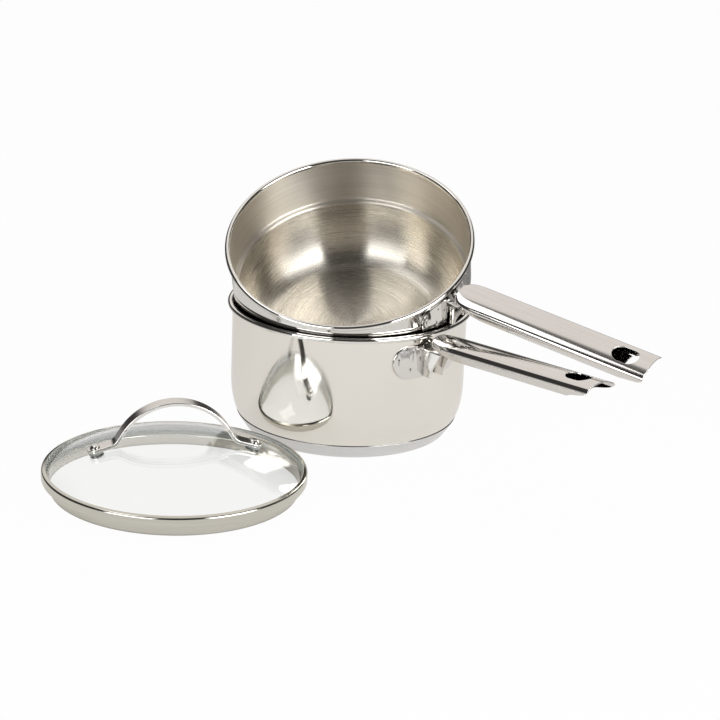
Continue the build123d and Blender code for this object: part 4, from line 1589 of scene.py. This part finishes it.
@dataclass
class Lid:
    """Domed glass lid with a stepped steel band, a strap handle and its rivets."""

    lathe: Lathe
    materials: Materials
    pan_reach: float
    insert_reach: float
    insert_wall: float
    insert_sheet: float
    pan_gap: float = 3.0
    towards: float = -81.48
    handle_towards: float = 59.6
    fit_gap: float = 0.7
    overhang: float = 1.6
    band_sheet: float = 0.6
    band_lip_width: float = 3.3
    band_lip_height: float = 15.9
    band_shoulder_height: float = 14.9
    band_ledge_height: float = 8.3
    shoulder_round: float = 1.5
    ledge_round: float = 0.9
    glass_edge_gap: float = 1.4
    glass_edge_drop: float = 2.13
    apex: float = 37.1
    glass: float = 4.0
    hole_radius: float = 3.2
    hole_offset: float = 56.6
    shank_radius: float = 2.0
    shank_gap: float = 0.08
    top_washer: Pair = (5.6, 1.4)
    bottom_washer: Pair = (5.0, 1.0)
    washer_sag: float = 0.08
    rivet_head: Pair = (3.7, 2.2)
    rivet_tail: Pair = (3.0, 1.1)
    strap_sheet: float = 2.6
    strap_width: float = 12.0
    strap_toe: float = 6.1
    strap_foot: float = 13.0
    leg_angle: float = 58.0
    strap_bend: float = 9.0
    strap_rise: float = 29.8
    body: str = "lid"

    @property
    def band_reach(self) -> float:
        """Outside radius of the band."""
        return self.insert_reach + self.overhang

    @property
    def glass_edge(self) -> float:
        """Outside radius of the glass."""
        return self.band_reach - self.band_sheet - self.glass_edge_gap

    @property
    def ball(self) -> float:
        """Radius of the dome's upper sphere."""
        rise = self.apex - self.band_lip_height + self.glass_edge_drop
        return (rise**2 + self.glass_edge**2) / (2 * rise)

    def place(self) -> Matrix:
        """Where the lid lies."""
        distance = self.pan_reach + self.pan_gap + self.band_reach
        spin = turned_by(self.handle_towards - self.towards, "Z")
        return turned_by(self.towards, "Z") @ placed(distance, 0, 0) @ spin

    def dome(self, radius: float, depth: float) -> float:
        """Height of the dome at a distance from the axis, at a depth in the glass."""
        return self.apex - self.ball + sqrt((self.ball - depth) ** 2 - radius**2)

    def foot_places(self) -> list[Matrix]:
        """Frames on the glass at the strap's two feet."""
        slope = degrees(asin(self.hole_offset / self.ball))
        found = []
        for side in (-1, 1):
            spot = placed(side * self.hole_offset, 0, self.dome(self.hole_offset, 0))
            found.append(self.place() @ spot @ turned_by(side * slope, "Y"))
        return found

    def dome_glass(self) -> bpy.types.Object:
        """The pressed glass with its two holes and a ground edge."""
        rim = [(self.glass_edge * cos(2 * pi * k / 240), self.glass_edge * sin(2 * pi * k / 240)) for k in range(240)]
        holes = []
        for side in (-1, 1):
            turns = [-2 * pi * k / 32 for k in range(32)]
            middle_x = side * self.hole_offset
            holes.append([(middle_x + self.hole_radius * cos(t), self.hole_radius * sin(t)) for t in turns])
        blank = Blank(rim, holes, self.glass, 0.9, (3.6, 3.6), 2.5)
        middle = self.glass / 2

        def place(x: float, y: float) -> Vector:
            """Point of the dome's middle surface."""
            return Vector((x, y, self.dome(hypot(x, y), middle)))

        return blank.build("lid_dome_glass", place, self.place(), self.materials.lid_glass, self.materials.lid_glass)

    def band(self) -> bpy.types.Object:
        """The stepped steel band."""
        half = self.band_sheet / 2
        outer = self.band_reach - half
        skirt = self.insert_wall - self.insert_sheet - self.fit_gap - half
        corners = [
            (self.band_reach - self.band_lip_width + half, self.band_lip_height),
            (outer, self.band_shoulder_height),
            (outer, self.band_ledge_height),
            (skirt, self.band_ledge_height),
            (skirt, half),
        ]
        line = SheetLine(corners, [self.shoulder_round, self.ledge_round, self.ledge_round], self.band_sheet)
        finishes = {Zone.OUTSIDE: self.materials.band_satin}
        return self.lathe.turn("lid_steel_band", closed_ring(line), finishes, self.place())

    def strap(self) -> bpy.types.Object:
        """The bent strap handle."""
        slope = asin(self.hole_offset / self.ball)
        lift = self.top_washer[1] + self.strap_sheet / 2
        foot = (self.hole_offset + lift * sin(slope), self.dome(self.hole_offset, 0) + lift * cos(slope))
        toe = shifted(foot, (cos(slope), -sin(slope)), self.strap_toe)
        bend_at = self.hole_offset - self.strap_foot
        bend = (bend_at, foot[1] + (foot[0] - bend_at) * tan(slope))
        leg = radians(self.leg_angle)
        peak = bend[1] + bend[0] * tan(leg)
        crown = self.apex + self.strap_rise - self.strap_sheet / 2
        arch = (peak - crown) / (1 / cos(leg) - 1)
        corners = [(-toe[0], toe[1]), (-bend[0], bend[1]), (0, peak), bend, toe]
        line = BentLine(corners, [self.strap_bend, arch, self.strap_bend])
        length = line.length()
        radius = self.strap_width / 2
        outline = []
        for end, start in ((length - radius, -pi / 2), (radius, pi / 2)):
            outline += [(end + radius * cos(start + pi * k / 16), radius * sin(start + pi * k / 16)) for k in range(17)]
        holes = []
        hole = self.shank_radius + self.shank_gap
        for centre in (self.strap_toe, length - self.strap_toe):
            turns = [-2 * pi * k / 24 for k in range(24)]
            holes.append([(centre + hole * cos(t), hole * sin(t)) for t in turns])
        blank = Blank(outline, holes, self.strap_sheet, 0.6, (1.5, 1.5), 0.9)

        def place(along: float, across: float) -> Vector:
            """Point of the strap's middle surface."""
            x, z = line.at(along)
            return Vector((x, across, z))

        return blank.build("lid_strap_handle", place, self.place(), self.materials.strap_satin, self.materials.cut_edge)

    def rivet_section(self) -> list[Sample]:
        """Domed head, shank and tail of one rivet."""
        seat = self.top_washer[1] + self.strap_sheet
        low = -self.glass - self.washer_sag - self.bottom_washer[1]
        head, tail = self.rivet_head, self.rivet_tail
        corners = [
            (0, low - tail[1]),
            (tail[0], low - tail[1]),
            (tail[0], low),
            (self.shank_radius, low),
            (self.shank_radius, seat),
            (head[0], seat),
            (head[0], seat + 0.35 * head[1]),
            (0.62 * head[0], seat + head[1]),
            (0, seat + head[1]),
        ]
        return closed_section(corners, [0.5, 0.1, 0.1, 0.1, 0.15, 0.6, 2.5], 8.0)

    def washer_section(self, radius: float, low: float, high: float, soft: float) -> list[Sample]:
        """Section of one washer with rounded edges."""
        hole = self.shank_radius + self.shank_gap
        middle = (low + high) / 2
        corners = [(hole, middle), (hole, low), (radius, low), (radius, high), (hole, high), (hole, middle)]
        return closed_section(corners, [soft] * 4)

    def build(self) -> None:
        """Make and seat every piece of the lid."""
        keep(self.dome_glass(), self.body, "lid_glass", "lid_glass")
        keep(self.band(), self.body, "band_steel", "lid_rim_band")
        keep(self.strap(), self.body, "strap_steel", "lid_handle")
        dress(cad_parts["lid_glass_gasket"], self.materials.gasket)
        feet = self.foot_places()
        under = -self.glass - self.washer_sag
        rivets = REPEATER.repeat("lid_rivets", self.rivet_section(), feet, self.materials.rivet_polish)
        keep(rivets, self.body, "rivet_steel", "lid_rivet_left", "lid_rivet_right")
        seats = REPEATER.repeat("lid_seat_washers", self.washer_section(self.top_washer[0], 0, self.top_washer[1], 0.5),
                                feet, self.materials.silicone)
        keep(seats, self.body, "seal_rubber", "lid_top_washer_left", "lid_top_washer_right")
        low = self.washer_section(self.bottom_washer[0], under - self.bottom_washer[1], under, 0.25)
        plates = REPEATER.repeat("lid_plate_washers", low, feet, self.materials.rivet_polish)
        keep(plates, self.body, "rivet_steel", "lid_bottom_washer_left", "lid_bottom_washer_right")
        for side in ("left", "right"):
            dress(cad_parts["lid_hole_sleeve_" + side], self.materials.silicone)


def closed_ring(line: SheetLine) -> list[Sample]:
    """Section of a sheet ring that doesn't reach the axis, closed round both its edges."""
    half = line.thickness / 2
    run = line.centre_run()
    left = [Sample(shifted(p, left_of(h), half), left_of(h), Zone.OUTSIDE) for p, h, _ in run]
    right = [Sample(shifted(p, left_of(h), -half), (h[1], -h[0]), Zone.OUTSIDE) for p, h, _ in run]
    caps = []
    for place, heading, turn_from in ((run[0][0], run[0][1], pi / 2), (run[-1][0], run[-1][1], -pi / 2)):
        cap = []
        for step in range(1, 6):
            turn = atan2(heading[1], heading[0]) + turn_from + pi * step / 6
            normal = (cos(turn), sin(turn))
            cap.append(Sample(shifted(place, normal, half), normal, Zone.OUTSIDE))
        caps.append(cap)
    return list(reversed(left)) + caps[0] + right + caps[1] + [left[-1]]


# Seating pieces on the frame


def keep(piece: bpy.types.Object, body: str, slot: str, *nodes: str) -> None:
    """Seat a piece on its body in place of its nodes, and report it."""
    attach(piece, body)
    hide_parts(*nodes)
    log.info("%s: %d points, stands for %s", piece.name, len(piece.data.vertices), ", ".join(nodes))


def dress(node: bpy.types.Object, material: bpy.types.Material) -> None:
    """Give a carried-over node a better material."""
    for slot in node.material_slots:
        slot.material = material
    log.info("%s: carried over", node.name)


# Studio


@dataclass(frozen=True)
class SoftBox:
    """A rectangular lamp seen only in reflections, aimed at the object."""

    name: str
    azimuth: float
    elevation: float
    distance: float
    width: float
    height: float
    radiance: float
    colour: tuple = (1.0, 1.0, 1.0)

    def build(self, heading: Vector, right: Vector, target: Vector) -> None:
        """Hang the lamp.

        Args:
            heading: level direction in which the camera looks.
            right: level direction to its right.
            target: point that the lamp faces.
        """
        turn, lift = radians(self.azimuth), radians(self.elevation)
        level = heading * cos(turn) + right * sin(turn)
        towards = level * cos(lift) + Vector((0, 0, 1)) * sin(lift)
        lamp = bpy.data.lights.new(self.name, "AREA")
        lamp.shape = "RECTANGLE"
        lamp.size = self.width
        lamp.size_y = self.height
        lamp.color = self.colour
        lamp.energy = self.radiance * pi * self.width * self.height
        holder = bpy.data.objects.new(self.name, lamp)
        holder.location = target + towards * self.distance
        holder.rotation_euler = towards.to_track_quat("Z", "Y").to_euler()
        holder.visible_camera = False
        bpy.context.scene.collection.objects.link(holder)


@dataclass
class Studio:
    """Camera, pale floor, soft lamps and the walls of light that the steel reflects."""

    camera_place: tuple = (1.38104, -1.25051, 0.69224)
    heading: float = 47.551
    pitch: float = 18.984
    roll: float = 2.2264
    lens: float = 127.48
    sensor: float = 36.0
    target: tuple = (0.05, -0.04, 0.12)
    floor_size: float = 5.0
    floor_colour: tuple = (0.80, 0.80, 0.80)
    floor_seen: float = 0.94
    floor_share: float = 0.6
    table_edge: float = 0.36
    table_fade: float = 0.10
    table_end: float = 0.12
    eye_white: float = 0.97
    behind_edge: Pair = (-0.02, 0.10)
    backdrop_side: Pair = (0.42, 0.56)
    backdrop_rise: Pair = (0.14, 0.32)
    backdrop_light: Pair = (0.05, 0.88)
    overhead_rise: Pair = (0.90, 0.98)
    overhead_light: Pair = (0.045, 0.30)
    wall_colour: tuple = (1.0, 0.96, 0.925, 1.0)
    lamps: tuple = (
        SoftBox("right_softbox", 130.0, 17.0, 1.5, 1.15, 0.95, 5.6),
        SoftBox("left_softbox", -145.0, 15.0, 1.5, 1.0, 0.85, 3.2),
        SoftBox("high_softbox", -98.0, 61.0, 1.6, 0.75, 0.50, 1.8),
    )

    def level(self) -> tuple[Vector, Vector]:
        """Level directions ahead of the camera and to its right."""
        turn = radians(self.heading)
        return Vector((-sin(turn), cos(turn), 0)), Vector((cos(turn), sin(turn), 0))

    def camera(self) -> None:
        """Set the camera where the photograph was taken."""
        ahead, right = self.level()
        pitch, roll = radians(self.pitch), radians(self.roll)
        look = ahead * cos(pitch) - Vector((0, 0, 1)) * sin(pitch)
        up = right.cross(look)
        side = right * cos(roll) + up * sin(roll)
        top = up * cos(roll) - right * sin(roll)
        data = bpy.data.cameras.new("camera")
        data.lens = self.lens
        data.sensor_width = self.sensor
        data.clip_end = 50.0
        holder = bpy.data.objects.new("camera", data)
        holder.matrix_world = Matrix.Translation(self.camera_place) @ Matrix((side, top, -look)).transposed().to_4x4()
        bpy.context.scene.collection.objects.link(holder)
        bpy.context.scene.camera = holder

    def floor(self) -> None:
        """Lay the pale floor, which keeps the object's shadow."""
        half = self.floor_size / 2
        mesh = bpy.data.meshes.new("floor")
        mesh.from_pydata([(-half, -half, 0), (half, -half, 0), (half, half, 0), (-half, half, 0)], [], [(0, 1, 2, 3)])
        mesh.materials.append(self.floor_material())
        add_object("floor", mesh)

    def floor_material(self) -> bpy.types.Material:
        """White for the eye, a paler grey in the steel, plain matt for the light."""
        material = bpy.data.materials.new("floor_white")
        material.use_nodes = True
        graph = Graph(material.node_tree)
        graph.tree.nodes.clear()
        matt = graph.node("ShaderNodeBsdfDiffuse")
        graph.feed(matt.inputs["Color"], (*self.floor_colour, 1.0))
        white = graph.node("ShaderNodeEmission")
        graph.feed(white.inputs["Color"], (1.0, 1.0, 1.0, 1.0))
        graph.feed(white.inputs["Strength"], 1.0)
        pale = graph.node("ShaderNodeEmission")
        graph.feed(pale.inputs["Color"], (1.0, 0.975, 0.94, 1.0))
        ray = graph.node("ShaderNodeLightPath")
        seen = graph.math("MAXIMUM", ray.outputs["Is Camera Ray"], ray.outputs["Is Transmission Ray"])
        place = graph.node("ShaderNodeTexCoord").outputs["Object"]
        parts = graph.node("ShaderNodeSeparateXYZ")
        graph.feed(parts.inputs[0], place)
        across = graph.math("SUBTRACT", parts.outputs[0], self.target[0])
        along = graph.math("SUBTRACT", parts.outputs[1], self.target[1])
        away = graph.math("SQRT", graph.math("ADD", graph.math("MULTIPLY", across, across),
                                             graph.math("MULTIPLY", along, along)))
        table = graph.spread(away, self.table_edge, self.table_edge + self.table_fade, 1.0, self.table_end,
                             smooth=True)
        graph.feed(pale.inputs["Strength"], graph.math("MULTIPLY", table, self.floor_seen))
        mirrored = self.mixed(graph, graph.math("MULTIPLY", ray.outputs["Is Glossy Ray"], self.floor_share), matt, pale)
        shown = self.mixed(graph, graph.math("MULTIPLY", seen, self.eye_white), mirrored, white)
        graph.feed(graph.node("ShaderNodeOutputMaterial").inputs["Surface"], shown.outputs[0])
        return material

    @staticmethod
    def mixed(graph: Graph, amount: object, first: bpy.types.Node, second: bpy.types.Node) -> bpy.types.Node:
        """Mix of two shaders."""
        made = graph.node("ShaderNodeMixShader")
        graph.feed(made.inputs[0], amount)
        graph.feed(made.inputs[1], first.outputs[0])
        graph.feed(made.inputs[2], second.outputs[0])
        return made

    def world(self) -> None:
        """Walls of the studio: pale behind the object and overhead, dark near the horizon elsewhere."""
        world = bpy.data.worlds.new("studio_walls")
        bpy.context.scene.world = world
        world.use_nodes = True
        graph = Graph(world.node_tree)
        graph.tree.nodes.clear()
        way = graph.node("ShaderNodeTexCoord").outputs["Generated"]
        turned = graph.node("ShaderNodeVectorRotate", rotation_type="Z_AXIS")
        graph.feed(turned.inputs["Vector"], way)
        graph.feed(turned.inputs["Angle"], -radians(self.heading))
        parts = graph.node("ShaderNodeSeparateXYZ")
        graph.feed(parts.inputs[0], turned.outputs[0])
        height = parts.outputs[2]
        aside = graph.math("ABSOLUTE", parts.outputs[0])
        behind = graph.math("MULTIPLY", graph.spread(parts.outputs[1], *self.behind_edge, 0.0, 1.0, smooth=True),
                            graph.spread(aside, *self.backdrop_side, 1.0, 0.0, smooth=True))
        front_light = graph.spread(height, *self.overhead_rise, *self.overhead_light, smooth=True)
        back_light = graph.spread(height, *self.backdrop_rise, *self.backdrop_light, smooth=True)
        level = graph.math("ADD", graph.math("MULTIPLY", behind, back_light),
                           graph.math("MULTIPLY", graph.math("SUBTRACT", 1.0, behind), front_light))
        ray = graph.node("ShaderNodeLightPath")
        seen = graph.math("MAXIMUM", ray.outputs["Is Camera Ray"], ray.outputs["Is Transmission Ray"])
        walls = graph.node("ShaderNodeBackground")
        graph.feed(walls.inputs["Color"], self.wall_colour)
        graph.feed(walls.inputs["Strength"], level)
        white = graph.node("ShaderNodeBackground")
        graph.feed(white.inputs["Color"], (1.0, 1.0, 1.0, 1.0))
        graph.feed(white.inputs["Strength"], 1.0)
        shown = self.mixed(graph, seen, walls, white)
        graph.feed(graph.node("ShaderNodeOutputWorld").inputs["Surface"], shown.outputs[0])

    def build(self) -> None:
        """Set up the whole studio."""
        bpy.context.scene.view_settings.view_transform = "Standard"
        ahead, right = self.level()
        self.camera()
        self.floor()
        self.world()
        for lamp in self.lamps:
            lamp.build(ahead, right, Vector(self.target))


LATHE = Lathe()
REPEATER = Repeater(LATHE)


def main() -> None:
    """Build the studio and the set."""
    logging.basicConfig(level=logging.INFO, format="%(name)s: %(message)s")
    Studio().build()
    materials = Materials()
    saucepan = LowerPan(LATHE, materials)
    saucepan.build()
    insert = Insert(LATHE, materials)
    insert.build()
    Lid(LATHE, materials, saucepan.lip().reach, insert.lip().reach, insert.wall_radius, insert.sheet).build()


if __name__ == "__main__":
    main()
